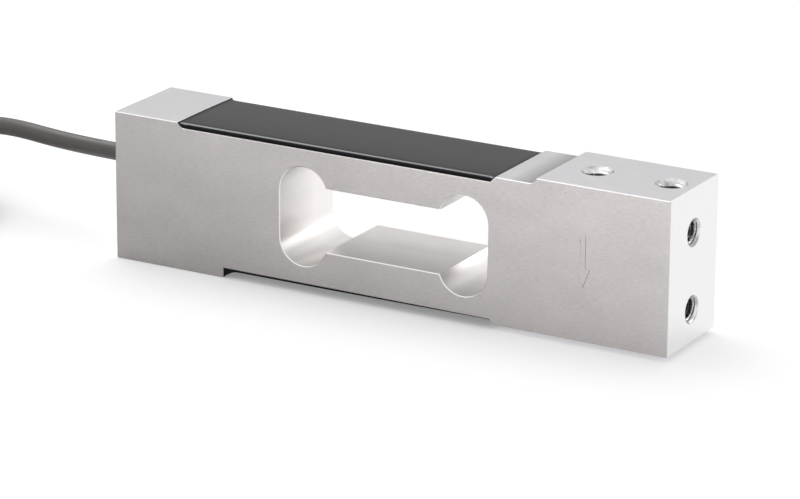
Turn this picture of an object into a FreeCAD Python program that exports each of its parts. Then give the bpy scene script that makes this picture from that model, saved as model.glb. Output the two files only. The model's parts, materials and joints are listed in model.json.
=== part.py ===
"""Single point load cell: a one-piece aluminium beam with a twin-lobed window, potted strain gauges and
a short cable.

The frame has +X from the fixed end to the load end, +Z up, and its origin under the middle of the bar, on the
plane of the fixed pad. All sizes are millimetres.
"""
import FreeCAD, Part
import math
import os
import re

import Sketcher
from FreeCAD import Vector

SIZES = [
    # the bar and its steps
    ("beam_length", 150.0, "overall length of the bar"),
    ("beam_width", 25.0, "width of the bar"),
    ("beam_height", 38.7, "from the fixed pad to the load pad"),
    ("fixed_step", 22.6, "from the fixed lobe's centre line to the fixed pad's step"),
    ("load_step", 19.0, "from the load lobe's centre line to the load pad's step"),
    ("load_pad_rise", 1.4, "load pad above the rest of the top"),
    ("fixed_pad_rise", 1.25, "fixed pad below the rest of the underside"),
    ("edge_break", 0.2, "chamfer on the bar's outer edges"),
    # the gauge recesses
    ("top_recess_reach", 35.3, "top recess beyond the fixed lobe's centre line"),
    ("recess_reach", 8.3, "both recesses beyond the load lobe's centre line"),
    ("top_recess_depth", 1.4, "below the rest of the top"),
    ("bottom_recess_depth", 1.2, "above the rest of the underside"),
    ("ramp_length", 1.35, "run of the sloping ends of the recesses"),
    ("cutter_radius", 2.0, "corner that the milling cutter leaves in a step"),
    # the window
    ("lobe_spacing", 43.4, "between the centre lines of the two lobes"),
    ("lobe_radius", 6.5, "rounding of the lobes"),
    ("lobe_centres", 11.7, "height between a lobe's two arc centres"),
    ("slot_height", 15.8, "height of the slot that joins the lobes"),
    # tapped holes
    ("tap_diameter", 5.0, "tapping drill of an M6 thread"),
    ("hole_depth", 12.0, "drilled depth of the tapped holes"),
    ("drill_angle", 118.0, "point angle of the drill"),
    ("countersink_angle", 90.0, "countersink at the mouths"),
    ("pad_mouth", 7.7, "countersink diameter on the pads"),
    ("pad_hole_pitch", 19.0, "between the two holes of a pad"),
    ("pad_hole_margin", 6.0, "from the bar's end to the nearest pad hole"),
    ("end_mouth", 6.9, "countersink diameter on the load end face"),
    ("end_hole_pitch", 18.6, "between the two holes of the end face"),
    ("end_hole_height", 9.35, "lower end hole above the fixed pad's plane"),
    # cable entry and wiring cavities
    ("cable_diameter", 4.4, "outer diameter of the cable"),
    ("cable_height", 22.6, "cable centre line above the fixed pad's plane"),
    ("bore_clearance", 0.2, "of the cable in its bore, on the diameter"),
    ("well_reach", 17.3, "from the fixed lobe's centre line to the wire well's centre"),
    ("jacket_gap", 5.0, "from the jacket's inner end to the wire well's centre"),
    ("seal_diameter", 7.0, "seat of the sealing compound"),
    ("seal_depth", 3.0, "depth of that seat"),
    ("seal_rise", 2.4, "sealing compound standing out of the end face"),
    ("seal_lip", 0.5, "wall of the compound at its tip"),
    ("well_diameter", 5.6, "wire well from the pocket to the bottom recess"),
    ("pocket_length", 18.0, "board pocket along the bar"),
    ("pocket_width", 13.0, "board pocket across the bar"),
    ("pocket_depth", 4.0, "board pocket below the recess floor"),
    ("pocket_corner", 2.0, "corner radius of the pocket"),
    ("pocket_past_well", 1.0, "pocket beyond the wire well's wall"),
    # potting compound
    ("potting_drop", 0.2, "potting below the rest of the top"),
    ("potting_round", 0.8, "rounding of the potting's long edges"),
    ("potting_inset", 0.05, "potting back from the bar's broken edges"),
    ("bottom_potting", 0.6, "thickness of the compound in the bottom recess"),
    ("creep_drop", 1.8, "how far that compound creeps down the fixed pad's step"),
    ("creep_run", 4.4, "how far from the step it thickens"),
    ("creep_radius", 6.3, "hollow of its surface there"),
    # gauges and their terminals
    ("gauge_length", 8.0, "strain gauge carrier along the bar"),
    ("gauge_width", 6.0, "strain gauge carrier across the bar"),
    ("gauge_thickness", 0.1, "foil on its carrier"),
    ("terminal_gap", 0.6, "between a gauge and its solder terminal"),
    ("terminal_length", 3.0, "solder terminal along the bar"),
    ("fixed_terminal_width", 5.4, "solder terminals at the fixed end, across the bar"),
    ("load_terminal_width", 9.4, "solder terminals at the load end, across the bar"),
    ("terminal_margin", 0.4, "from a terminal's side to its outermost lead"),
    ("terminal_thickness", 0.45, "solder terminal with its solder"),
    # terminal board
    ("board_length", 11.0, "terminal board along the bar"),
    ("board_width", 10.0, "terminal board across the bar"),
    ("board_thickness", 0.8, "terminal board"),
    ("board_margin", 0.8, "board to the pocket's wall"),
    ("resistor_length", 2.0, "trim resistor across the bar"),
    ("resistor_width", 1.25, "trim resistor along the bar"),
    ("resistor_height", 0.5, "trim resistor"),
    ("resistor_pitch", 2.9, "between trim resistors"),
    # wires
    ("ribbon_width", 0.5, "flat bridge lead"),
    ("ribbon_thickness", 0.15, "flat bridge lead"),
    ("ribbon_pitch", 0.8, "between bridge leads in the wire well"),
    ("ribbon_slant_run", 4.0, "a lower lead's run across to the wire well"),
    ("core_diameter", 1.1, "insulated core of the cable"),
    ("core_pitch", 1.3, "between neighbouring cores"),
    ("core_rise", 1.6, "the first cores' height over the board, before they turn down to it"),
    ("core_landing", 1.3, "from the board's end to the first cores' ends"),
    ("landing_pitch", 2.2, "between the rows of ends on the board"),
    ("ribbon_gap", 0.3, "between the lower leads and the cores that they cross"),
    ("ribbon_landing", 1.6, "from the board's end to the upper leads' ends"),
    ("conductor_diameter", 0.7, "tinned conductor of a core"),
    ("conductor_length", 5.0, "stripped and tinned length"),
    # the put-away coil
    ("coil_radius", 22.0, "middle of the coil's section"),
    ("coil_half_width", 2.45, "half the width of the coil's section"),
    ("coil_height", 13.6, "height of the coil's section"),
    ("coil_bevel", 0.8, "bevel along the coil's edges"),
    ("tie_thickness", 0.6, "tie round the coil"),
    ("tie_width", 4.0, "tie along the coil"),
    ("sleeve_length", 7.0, "shrunk sleeve on the jacket's end"),
    ("sleeve_wall", 0.3, "wall of that sleeve"),
]

# the coil's centre from the bar's fixed end, and the angle round it where its tie sits
COIL_PLACE = Vector(-66.9, -11.95, 0.0)
TIE_ANGLE = 200.0

doc = FreeCAD.newDocument("single_point_load_cell")
sheet = doc.addObject("Spreadsheet::Sheet", "Sizes")
for line, (alias, number, meaning) in enumerate(SIZES, 1):
    sheet.set(f"A{line}", meaning)
    sheet.set(f"B{line}", str(number))
    sheet.setAlias(f"B{line}", alias)
doc.recompute()
ALIASES = {alias for alias, _, _ in SIZES}
# a sketch's own origin, as its geometry number and point number
ORIGIN_POINT = (-1, 1)
kept = {}


def linked(expression):
    """The expression with every size's name pointing at its cell."""
    return re.sub(r"[a-z_]+", lambda word: "Sizes." + word[0] if word[0] in ALIASES else word[0], expression)


def value(expression):
    """The expression's number, in millimetres or degrees."""
    return float(sheet.evalExpression(linked(expression)))


def bind(item, **links):
    """Ties properties to expressions. Two underscores in a name stand for a dot."""
    for name, expression in links.items():
        item.setExpression(name.replace("__", "."), linked(expression))


def keep(item, node):
    """Names a finished sub-part, whose shape goes to its own file."""
    item.Label = node
    kept[node] = item
    return item


# levels and places that several pieces share
TOP = "(beam_height - load_pad_rise)"
TOP_FLOOR = "(beam_height - load_pad_rise - top_recess_depth)"
UNDERSIDE = "fixed_pad_rise"
BOTTOM_FLOOR = "(fixed_pad_rise + bottom_recess_depth)"
WINDOW_HEIGHT = f"(({TOP_FLOOR} + {BOTTOM_FLOOR}) / 2)"
FIXED_END = "(-beam_length / 2)"
LOAD_END = "(beam_length / 2)"
FIXED_STEP = "(-lobe_spacing / 2 - fixed_step)"
LOAD_STEP = "(lobe_spacing / 2 + load_step)"
RECESS_START = "(-lobe_spacing / 2 - top_recess_reach)"
RECESS_STOP = "(lobe_spacing / 2 + recess_reach)"
WELL_PLACE = "(-lobe_spacing / 2 - well_reach)"
JACKET_END = f"({WELL_PLACE} - jacket_gap)"
POCKET_END = f"({WELL_PLACE} + well_diameter / 2 + pocket_past_well)"
POCKET_FLOOR = f"({TOP_FLOOR} - pocket_depth)"
BOARD_START = f"({POCKET_END} - pocket_length + board_margin)"
BOARD_END = f"({BOARD_START} + board_length)"
BOARD_TOP = f"({POCKET_FLOOR} + board_thickness)"
POTTING_EDGE = "(beam_width / 2 - edge_break - potting_inset)"


# sketches

def sketch_on(body, name, role, offset="0"):
    """A sketch on one of the body's own origin planes, moved along the plane's normal."""
    sketch = body.newObject("Sketcher::SketchObject", name)
    plane = next(feature for feature in body.Origin.OriginFeatures if feature.Role == role)
    sketch.AttachmentSupport = [(plane, "")]
    sketch.MapMode = "FlatFace"
    bind(sketch, AttachmentOffset__Base__z=offset)
    return sketch


def fix_point(sketch, geometry, end, across, up):
    """Holds one point of a sketch at two expressions."""
    for kind, expression in (("DistanceX", across), ("DistanceY", up)):
        rule = Sketcher.Constraint(kind, *ORIGIN_POINT, geometry, end, value(expression))
        held = sketch.addConstraint(rule)
        bind(sketch, **{f"Constraints[{held}]": expression})


def outline(sketch, corners):
    """A closed outline. A corner is its two expressions and, if an arc leads on from it, a radius and a side:
    +1 with the centre on the left of the way round, -1 with it on the right."""
    places = [Vector(value(corner[0]), value(corner[1]), 0) for corner in corners]
    ends = []
    for number, corner in enumerate(corners):
        start, stop = places[number], places[(number + 1) % len(places)]
        if len(corner) == 2:
            piece = sketch.addGeometry(Part.LineSegment(start, stop), False)
            ends.append((piece, 1, 2))
            continue
        radius, side = value(corner[2]), corner[3]
        half = (stop - start) / 2
        left = Vector(-half.y, half.x, 0).normalize()
        centre = start + half + left * side * math.sqrt(max(radius ** 2 - half.Length ** 2, 0.0))
        angles = [math.atan2(point.y - centre.y, point.x - centre.x) for point in (start, stop)]
        circle = Part.Circle(centre, Vector(0, 0, 1), radius)
        arc = Part.ArcOfCircle(circle, *(angles if side > 0 else angles[::-1]))
        piece = sketch.addGeometry(arc, False)
        ends.append((piece, 1, 2) if side > 0 else (piece, 2, 1))
        held = sketch.addConstraint(Sketcher.Constraint("Radius", piece, radius))
        bind(sketch, **{f"Constraints[{held}]": corner[2]})
    for number, (piece, first, last) in enumerate(ends):
        following = ends[(number + 1) % len(ends)]
        sketch.addConstraint(Sketcher.Constraint("Coincident", piece, last, following[0], following[1]))
        fix_point(sketch, piece, first, corners[number][0], corners[number][1])


def circle_at(sketch, across, up, radius):
    """A circle with its centre and radius held."""
    centre = Vector(value(across), value(up), 0)
    piece = sketch.addGeometry(Part.Circle(centre, Vector(0, 0, 1), value(radius)), False)
    fix_point(sketch, piece, 3, across, up)
    held = sketch.addConstraint(Sketcher.Constraint("Radius", piece, value(radius)))
    bind(sketch, **{f"Constraints[{held}]": radius})


def stadium(sketch, across, up, centres, radius):
    """An upright slot with round ends: two arcs and the sides tangent to them."""
    middle, rise, round_size = value(across), value(centres) / 2, value(radius)
    level = value(up)
    upper, lower = Vector(middle, level + rise, 0), Vector(middle, level - rise, 0)
    reach = Vector(round_size, 0, 0)
    normal = Vector(0, 0, 1)
    top = sketch.addGeometry(Part.ArcOfCircle(Part.Circle(upper, normal, round_size), 0, math.pi), False)
    bottom = sketch.addGeometry(
        Part.ArcOfCircle(Part.Circle(lower, normal, round_size), math.pi, 2 * math.pi), False
    )
    left = sketch.addGeometry(Part.LineSegment(upper - reach, lower - reach), False)
    right = sketch.addGeometry(Part.LineSegment(lower + reach, upper + reach), False)
    for one, one_end, other, other_end in (
        (top, 2, left, 1), (left, 2, bottom, 1), (bottom, 2, right, 1), (right, 2, top, 1),
    ):
        sketch.addConstraint(Sketcher.Constraint("Tangent", one, one_end, other, other_end))
    fix_point(sketch, top, 3, across, f"{up} + {centres} / 2")
    fix_point(sketch, bottom, 3, across, f"{up} - {centres} / 2")
    held = sketch.addConstraint(Sketcher.Constraint("Radius", top, round_size))
    bind(sketch, **{f"Constraints[{held}]": radius})
    sketch.addConstraint(Sketcher.Constraint("Equal", top, bottom))


def rectangle(sketch, left, right, low, high):
    """A rectangle between four expressions."""
    outline(sketch, [(left, low), (right, low), (right, high), (left, high)])


# features

def new_body(name):
    return doc.addObject("PartDesign::Body", name)


def pad(body, name, sketch, length, symmetric=False, reverse=False):
    feature = body.newObject("PartDesign::Pad", name)
    feature.Profile = sketch
    feature.SideType = "Symmetric" if symmetric else "One side"
    feature.Reversed = reverse
    bind(feature, Length=length)
    doc.recompute()
    return feature


def must_cut(body, name, before):
    """A cut that points away from the solid removes nothing, so the volume has to fall."""
    doc.recompute()
    if not body.Shape.Volume < before - 1e-3:
        raise RuntimeError(f"{name} cut nothing")


def pocket(body, name, sketch, depth, symmetric=False, reverse=False):
    before = body.Shape.Volume
    feature = body.newObject("PartDesign::Pocket", name)
    feature.Profile = sketch
    feature.SideType = "Symmetric" if symmetric else "One side"
    feature.Reversed = reverse
    bind(feature, Length=depth)
    must_cut(body, name, before)
    return feature


def tapped_holes(body, name, sketch, mouth, reverse=False):
    """Blind holes at the tapping size with a drill point and a countersink."""
    doc.recompute()
    before = body.Shape.Volume
    feature = body.newObject("PartDesign::Hole", name)
    feature.Profile = sketch
    feature.ThreadType = "None"
    feature.HoleCutType = "Countersink"
    feature.HoleCutCustomValues = True
    feature.DepthType = "Dimension"
    feature.DrillPoint = "Angled"
    feature.Reversed = reverse
    bind(
        feature,
        Diameter="tap_diameter",
        Depth="hole_depth",
        DrillPointAngle="drill_angle",
        HoleCutDiameter=mouth,
        HoleCutCountersinkAngle="countersink_angle",
    )
    must_cut(body, name, before)
    return feature


def pad_holes(body, name, across, level, reverse):
    """The two tapped holes of a pad, in line along the bar."""
    sketch = sketch_on(body, name + "_places", "XY_Plane", level)
    for place in across:
        circle_at(sketch, place, "0", "tap_diameter / 2")
    tapped_holes(body, name, sketch, "pad_mouth", reverse)


# the bar

def beam():
    """The bar is sawn and milled from one piece: its side profile, then the window, holes and cavities."""
    body = new_body("beam")
    side = sketch_on(body, "side_profile", "XZ_Plane")
    recess_curve = "sqrt(cutter_radius ^ 2 - (cutter_radius - top_recess_depth) ^ 2)"
    pad_curve = "sqrt(cutter_radius ^ 2 - (cutter_radius - load_pad_rise) ^ 2)"
    outline(side, [
        (FIXED_END, "0"),
        (FIXED_STEP, "0"),
        (FIXED_STEP, BOTTOM_FLOOR),
        (f"{RECESS_STOP} - ramp_length", BOTTOM_FLOOR),
        (RECESS_STOP, UNDERSIDE),
        (LOAD_END, UNDERSIDE),
        (LOAD_END, "beam_height"),
        (LOAD_STEP, "beam_height", "cutter_radius", -1),
        (f"{LOAD_STEP} - {pad_curve}", TOP),
        (RECESS_STOP, TOP),
        (f"{RECESS_STOP} - ramp_length", TOP_FLOOR),
        (f"{RECESS_START} + {recess_curve}", TOP_FLOOR, "cutter_radius", -1),
        (RECESS_START, TOP),
        (FIXED_END, TOP),
    ])
    pad(body, "bar", side, "beam_width", symmetric=True)

    lobes = sketch_on(body, "lobes_outline", "XZ_Plane")
    for side_sign in ("-", ""):
        stadium(lobes, f"{side_sign}lobe_spacing / 2", WINDOW_HEIGHT, "lobe_centres", "lobe_radius")
    pocket(body, "lobes", lobes, "beam_width * 2", symmetric=True)
    slot = sketch_on(body, "slot_outline", "XZ_Plane")
    rectangle(
        slot,
        "-lobe_spacing / 2",
        "lobe_spacing / 2",
        f"{WINDOW_HEIGHT} - slot_height / 2",
        f"{WINDOW_HEIGHT} + slot_height / 2",
    )
    pocket(body, "slot", slot, "beam_width * 2", symmetric=True)
    break_edges(body)
    drill_cable_entry(body)

    from_end = ("pad_hole_margin", "pad_hole_margin + pad_hole_pitch")
    pad_holes(body, "load_pad_holes", [f"{LOAD_END} - ({step})" for step in from_end], "beam_height", False)
    pad_holes(body, "fixed_pad_holes", [f"{FIXED_END} + {step}" for step in from_end], "0", True)
    end_places = sketch_on(body, "end_hole_places", "YZ_Plane", LOAD_END)
    for height in ("end_hole_height", "end_hole_height + end_hole_pitch"):
        circle_at(end_places, "0", height, "tap_diameter / 2")
    tapped_holes(body, "end_holes", end_places, "end_mouth")
    return keep(body, "beam_body")


def break_edges(body):
    """The small chamfer on every edge of the two side faces and across the two ends."""
    solid = body.Tip.Shape
    half_width, half_length = value("beam_width / 2"), value("beam_length / 2")
    edges = []
    for number, edge in enumerate(solid.Edges, 1):
        box = edge.BoundBox
        on_side = box.YLength < 1e-6 and abs(abs(box.YMin) - half_width) < 1e-6
        on_end = box.XLength < 1e-6 and abs(abs(box.XMin) - half_length) < 1e-6
        if on_side or on_end:
            edges.append(f"Edge{number}")
    feature = body.newObject("PartDesign::Chamfer", "edge_breaks")
    feature.Base = (body.Group[-2], edges)
    bind(feature, Size="edge_break")
    before = solid.Volume
    must_cut(body, "edge_breaks", before)


def drill_cable_entry(body):
    """The cable's bore with its seal seat, the board pocket and the well for the wires to the underside."""
    bore = sketch_on(body, "bore_place", "YZ_Plane", FIXED_END)
    circle_at(bore, "0", "cable_height", "(cable_diameter + bore_clearance) / 2")
    pocket(body, "cable_bore", bore, f"{WELL_PLACE} - {FIXED_END}", reverse=True)
    seat = sketch_on(body, "seat_place", "YZ_Plane", FIXED_END)
    circle_at(seat, "0", "cable_height", "seal_diameter / 2")
    pocket(body, "seal_seat", seat, "seal_depth", reverse=True)
    well = sketch_on(body, "well_place", "XY_Plane", TOP_FLOOR)
    circle_at(well, WELL_PLACE, "0", "well_diameter / 2")
    pocket(body, "wire_well", well, "beam_height")
    opening = sketch_on(body, "pocket_outline", "XY_Plane", TOP_FLOOR)
    rounded_rectangle(
        opening, f"{POCKET_END} - pocket_length", POCKET_END, "pocket_width / 2", "pocket_corner"
    )
    pocket(body, "board_pocket", opening, "pocket_depth")


def rounded_rectangle(sketch, left, right, half_width, corner):
    """A rectangle about the X axis with four equal round corners."""
    outline(sketch, [
        (f"{left} + {corner}", f"-{half_width}"),
        (f"{right} - {corner}", f"-{half_width}", corner, 1),
        (right, f"-{half_width} + {corner}"),
        (right, f"{half_width} - {corner}", corner, 1),
        (f"{right} - {corner}", half_width),
        (f"{left} + {corner}", half_width, corner, 1),
        (left, f"{half_width} - {corner}"),
        (left, f"-{half_width} + {corner}", corner, 1),
    ])


# flat pieces under the potting

def plate(node, centre, across, low, length, width, thickness):
    """A flat piece lying on the level given."""
    box = doc.addObject("Part::Box", node)
    bind(
        box,
        Length=length,
        Width=width,
        Height=thickness,
        Placement__Base__x=f"{centre} - {length} / 2",
        Placement__Base__y=f"{across} - {width} / 2",
        Placement__Base__z=low,
    )
    return keep(box, node)


def gauges(face):
    """A face's two gauges, over or under the thin sections, each with a solder terminal beside it."""
    under = face == "bottom"
    gauge_low = f"{BOTTOM_FLOOR} - gauge_thickness" if under else TOP_FLOOR
    terminal_low = f"{BOTTOM_FLOOR} - terminal_thickness" if under else TOP_FLOOR
    pieces = []
    for end, sign in (("fixed", "-"), ("load", "")):
        middle = f"{sign}lobe_spacing / 2"
        beside = f"{middle} - gauge_length / 2 - terminal_gap - terminal_length / 2"
        pieces.append(plate(
            f"gauge_{face}_{end}", middle, "0", gauge_low, "gauge_length", "gauge_width", "gauge_thickness"
        ))
        pieces.append(plate(
            f"terminal_{face}_{end}", beside, "0", terminal_low,
            "terminal_length", f"{end}_terminal_width", "terminal_thickness",
        ))
    return pieces


def board():
    """The terminal board on the pocket's floor, with three trim resistors."""
    middle = f"({BOARD_START} + board_length / 2)"
    pieces = [plate(
        "terminal_board", middle, "0", POCKET_FLOOR, "board_length", "board_width", "board_thickness"
    )]
    row = f"({BOARD_START} + resistor_width)"
    for number, name in enumerate(("zero_resistor", "span_resistor", "temperature_resistor")):
        pieces.append(plate(
            name, row, f"{number - 1} * resistor_pitch", BOARD_TOP,
            "resistor_width", "resistor_length", "resistor_height",
        ))
    return pieces


# wires and cable

def rounded_path(points, share=0.45):
    """Straight runs joined by tangent arcs. Each arc takes a share of its shorter run."""
    edges, radii, start = [], [], points[0]
    for before, corner, after in zip(points, points[1:], points[2:]):
        inward, onward = corner - before, after - corner
        turn = inward.getAngle(onward)
        reach = share * min(inward.Length, onward.Length)
        radii.append(reach / math.tan(turn / 2))
        first = corner - inward.normalize() * reach
        last = corner + onward.normalize() * reach
        bisector = (first + last) / 2 - corner
        depth = radii[-1] / math.cos(turn / 2) - radii[-1]
        middle = corner + bisector.normalize() * depth
        edges.append(Part.LineSegment(start, first).toShape())
        edges.append(Part.Arc(first, middle, last).toShape())
        start = last
    edges.append(Part.LineSegment(start, points[-1]).toShape())
    return Part.Wire(edges), radii


def tube(name, points, diameter):
    """A round solid along the path. Its radii and length are printed, and its volume is compared
    with its section times its length."""
    path, radii = rounded_path(points)
    section = Part.Wire(Part.Circle(points[0], points[1] - points[0], diameter / 2).toShape())
    solid = path.makePipeShell([section], True, False)
    expected = math.pi * diameter ** 2 / 4 * path.Length
    if abs(solid.Volume / expected - 1) > 0.01:
        raise RuntimeError(f"{name} has a volume of {solid.Volume:.1f}, expected {expected:.1f}")
    print(f"{name}: length {path.Length:.1f}, radii", [round(radius, 1) for radius in radii])
    item = doc.addObject("Part::Feature", name)
    item.Shape = solid
    return item


def inner_wiring():
    """The cable's inner length and its cores, which rise through the well and end on the board."""
    jacket = doc.addObject("Part::Cylinder", "inner_jacket")
    bind(
        jacket,
        Radius="cable_diameter / 2",
        Height=f"{JACKET_END} - {FIXED_END}",
        Placement__Base__x=FIXED_END,
        Placement__Base__z="cable_height",
    )
    jacket.Placement.Rotation = FreeCAD.Rotation(Vector(0, 1, 0), 90)
    keep(jacket, "cable_inner_length")
    level, start, board_top = value("cable_height"), value(JACKET_END), value(BOARD_TOP)
    offset, core = value("core_pitch / 2"), value("core_diameter")
    pieces = []
    for name, side, row in (("red", -1, 1), ("black", 1, 1), ("green", -1, -1), ("white", 1, -1)):
        across, height = side * offset, level + row * offset
        rise = value(WELL_PLACE) - row * offset
        over, landing = value(f"{BOARD_TOP} + core_rise"), value(f"{BOARD_END} - core_landing")
        if row < 0:
            over, landing = over + value("core_pitch"), landing - value("landing_pitch")
        route = [
            Vector(start, across, height),
            Vector(rise, across, height),
            Vector(rise, across, over),
            Vector(landing, across, over),
            Vector(landing, across, board_top),
        ]
        pieces.append(keep(tube(f"core_{name}_inside", route, core), f"inner_core_{name}"))
    return pieces


def ribbon(points, width, thickness):
    """A flat lead: a rectangular section that follows straight runs with square folds."""
    path = Part.makePolygon(points)
    along = (points[1] - points[0]).normalize()
    across = Vector(0, width / 2, 0)
    rise = along.cross(Vector(0, 1, 0)).normalize() * thickness / 2
    start = points[0]
    rim = [start - across - rise, start + across - rise, start + across + rise, start - across + rise]
    return path.makePipeShell([Part.makePolygon(rim + rim[:1])], True, False, 1)


def bridge_wires():
    """Flat leads from the terminals to the board: along the top, and from the bottom up the well.
    The load end's leads pass outside the fixed end's gauge."""
    floor = value(f"{TOP_FLOOR} + terminal_thickness / 2")
    ceiling = value(f"{BOTTOM_FLOOR} - terminal_thickness / 2")
    board_top = value(BOARD_TOP)
    upper_landing = value(f"{BOARD_END} - ribbon_landing")
    lower_landing = value(f"{BOARD_END} - core_landing - 2 * landing_pitch")
    rise = value(f"{WELL_PLACE} + well_diameter / 2 - ribbon_pitch")
    over_cores = value(
        f"{BOARD_TOP} + core_rise + core_pitch + core_diameter / 2 + ribbon_gap + ribbon_thickness / 2"
    )
    outside_gauge = value("load_terminal_width / 2 - terminal_margin - ribbon_width / 2")
    inside = value("fixed_terminal_width / 2 - terminal_margin - ribbon_width / 2")
    upper, lower = [], []
    for sign in (-1, 1):
        for end, in_well, along_top in (
            ("-", value("ribbon_pitch / 2"), inside),
            ("", value("ribbon_pitch * 1.5"), outside_gauge),
        ):
            terminal = value(f"{end}lobe_spacing / 2 - gauge_length / 2 - terminal_gap - terminal_length")
            upper.append([
                Vector(terminal, sign * along_top, floor),
                Vector(upper_landing, sign * along_top, floor),
                Vector(upper_landing, sign * along_top, board_top),
            ])
            across = sign * in_well
            below = [Vector(terminal, across, ceiling)]
            if not end:
                below = [
                    Vector(terminal, sign * outside_gauge, ceiling),
                    Vector(rise + value("ribbon_slant_run"), sign * outside_gauge, ceiling),
                ]
            below.append(Vector(rise, across, ceiling))
            below.append(Vector(rise, across, over_cores))
            below.append(Vector(lower_landing, across, over_cores))
            below.append(Vector(lower_landing, across, board_top))
            lower.append(below)
    width, thick = value("ribbon_width"), value("ribbon_thickness")
    nodes = []
    for node, routes in (("upper_bridge_wires", upper), ("lower_bridge_wires", lower)):
        item = doc.addObject("Part::Feature", node)
        item.Shape = Part.makeCompound([ribbon(points, width, thick) for points in routes])
        nodes.append(keep(item, node))
    return nodes


def cable_seal():
    """Sealing compound in the seat round the cable, drawn out to a short cone."""
    body = new_body("seal")
    section = sketch_on(body, "seal_section", "XZ_Plane")
    inner = "(cable_height + cable_diameter / 2)"
    outline(section, [
        (f"{FIXED_END} - seal_rise", inner),
        (f"{FIXED_END} + seal_depth", inner),
        (f"{FIXED_END} + seal_depth", "cable_height + seal_diameter / 2"),
        (FIXED_END, "cable_height + seal_diameter / 2"),
        (f"{FIXED_END} - seal_rise", f"{inner} + seal_lip"),
    ])
    axis = sketch_on(body, "seal_axis", "XZ_Plane")
    line = axis.addGeometry(Part.LineSegment(
        Vector(value(FIXED_END), value("cable_height"), 0), Vector(0, value("cable_height"), 0)
    ), False)
    fix_point(axis, line, 1, FIXED_END, "cable_height")
    fix_point(axis, line, 2, "0", "cable_height")
    turned = body.newObject("PartDesign::Revolution", "seal_ring")
    turned.Profile = section
    turned.ReferenceAxis = (axis, ["Edge1"])
    turned.Angle = 360
    return keep(body, "cable_seal")


def coil_centre():
    return Vector(value(FIXED_END), 0, 0) + COIL_PLACE


def lead_route():
    """The free cable from the bar's end face: straight out, gently aside, then down onto the coil."""
    out, level = value(FIXED_END), value("cable_height")
    return [
        Vector(out, 0.0, level),
        Vector(out - 11.0, 0.0, level),
        Vector(out - 26.0, 1.2, level),
        Vector(out - 41.0, 3.7, level + 0.3),
        Vector(out - 52.0, 6.4, level - 1.3),
        Vector(out - 60.0, 8.9, 17.1),
        Vector(out - 66.9, 10.1, 13.2),
        Vector(out - 74.5, 8.7, 11.4),
    ]


def tail_route():
    """The cable's end, which leaves the coil's lowest turn and lies beside the coil."""
    middle = coil_centre()
    side = middle.y - value("coil_radius")
    return [
        Vector(middle.x - 7.5, side + 1.35, 2.8),
        Vector(middle.x - 1.3, side - 1.15, 2.8),
        Vector(middle.x + 4.9, side - 2.45, 2.8),
        Vector(middle.x + 11.9, side - 2.4, 2.75),
    ]


def coil_ring():
    """The put-away coil as one closed ring, which holds three turns on top of each other."""
    body = new_body("coil_outline")
    section = sketch_on(body, "coil_section", "XZ_Plane")
    low, high = "tie_thickness", "(tie_thickness + coil_height)"
    inner, outer = "(coil_radius - coil_half_width)", "(coil_radius + coil_half_width)"
    outline(section, [
        (f"{inner} + coil_bevel", low),
        (f"{outer} - coil_bevel", low),
        (outer, f"{low} + coil_bevel"),
        (outer, f"{high} - coil_bevel"),
        (f"{outer} - coil_bevel", high),
        (f"{inner} + coil_bevel", high),
        (inner, f"{high} - coil_bevel"),
        (inner, f"{low} + coil_bevel"),
    ])
    turned = body.newObject("PartDesign::Revolution", "coil_ring")
    turned.Profile = section
    turned.ReferenceAxis = (section, ["V_Axis"])
    turned.Angle = 360
    body.Placement.Base = coil_centre()
    doc.recompute()
    return body


def below_coil_top():
    """All the room round the coil up to the level of its top."""
    room = doc.addObject("Part::Box", "below_coil_top")
    bind(room, Length="4 * coil_radius", Width="4 * coil_radius", Height="tie_thickness + coil_height")
    half = value("2 * coil_radius")
    room.Placement.Base = coil_centre() - Vector(half, half, 0)
    return room


def tie():
    """A flat tie round the coil's section: a closed band standing across the turns."""
    body = new_body("tie")
    band = sketch_on(body, "tie_band", "XZ_Plane")
    for grow in ("0", "tie_thickness"):
        rectangle(
            band,
            f"coil_radius - coil_half_width - {grow}",
            f"coil_radius + coil_half_width + {grow}",
            f"tie_thickness - {grow}",
            f"tie_thickness + coil_height + {grow}",
        )
    pad(body, "band", band, "tie_width", symmetric=True)
    body.Placement = FreeCAD.Placement(coil_centre(), FreeCAD.Rotation(Vector(0, 0, 1), TIE_ANGLE))
    return body


def cut(name, base, tools):
    """The base with each tool's solid taken out of it."""
    for number, tool in enumerate(tools):
        step = doc.addObject("Part::Cut", f"{name}_{number}")
        step.Base = base
        step.Tool = tool
        doc.recompute()
        base = step
    return base


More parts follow.
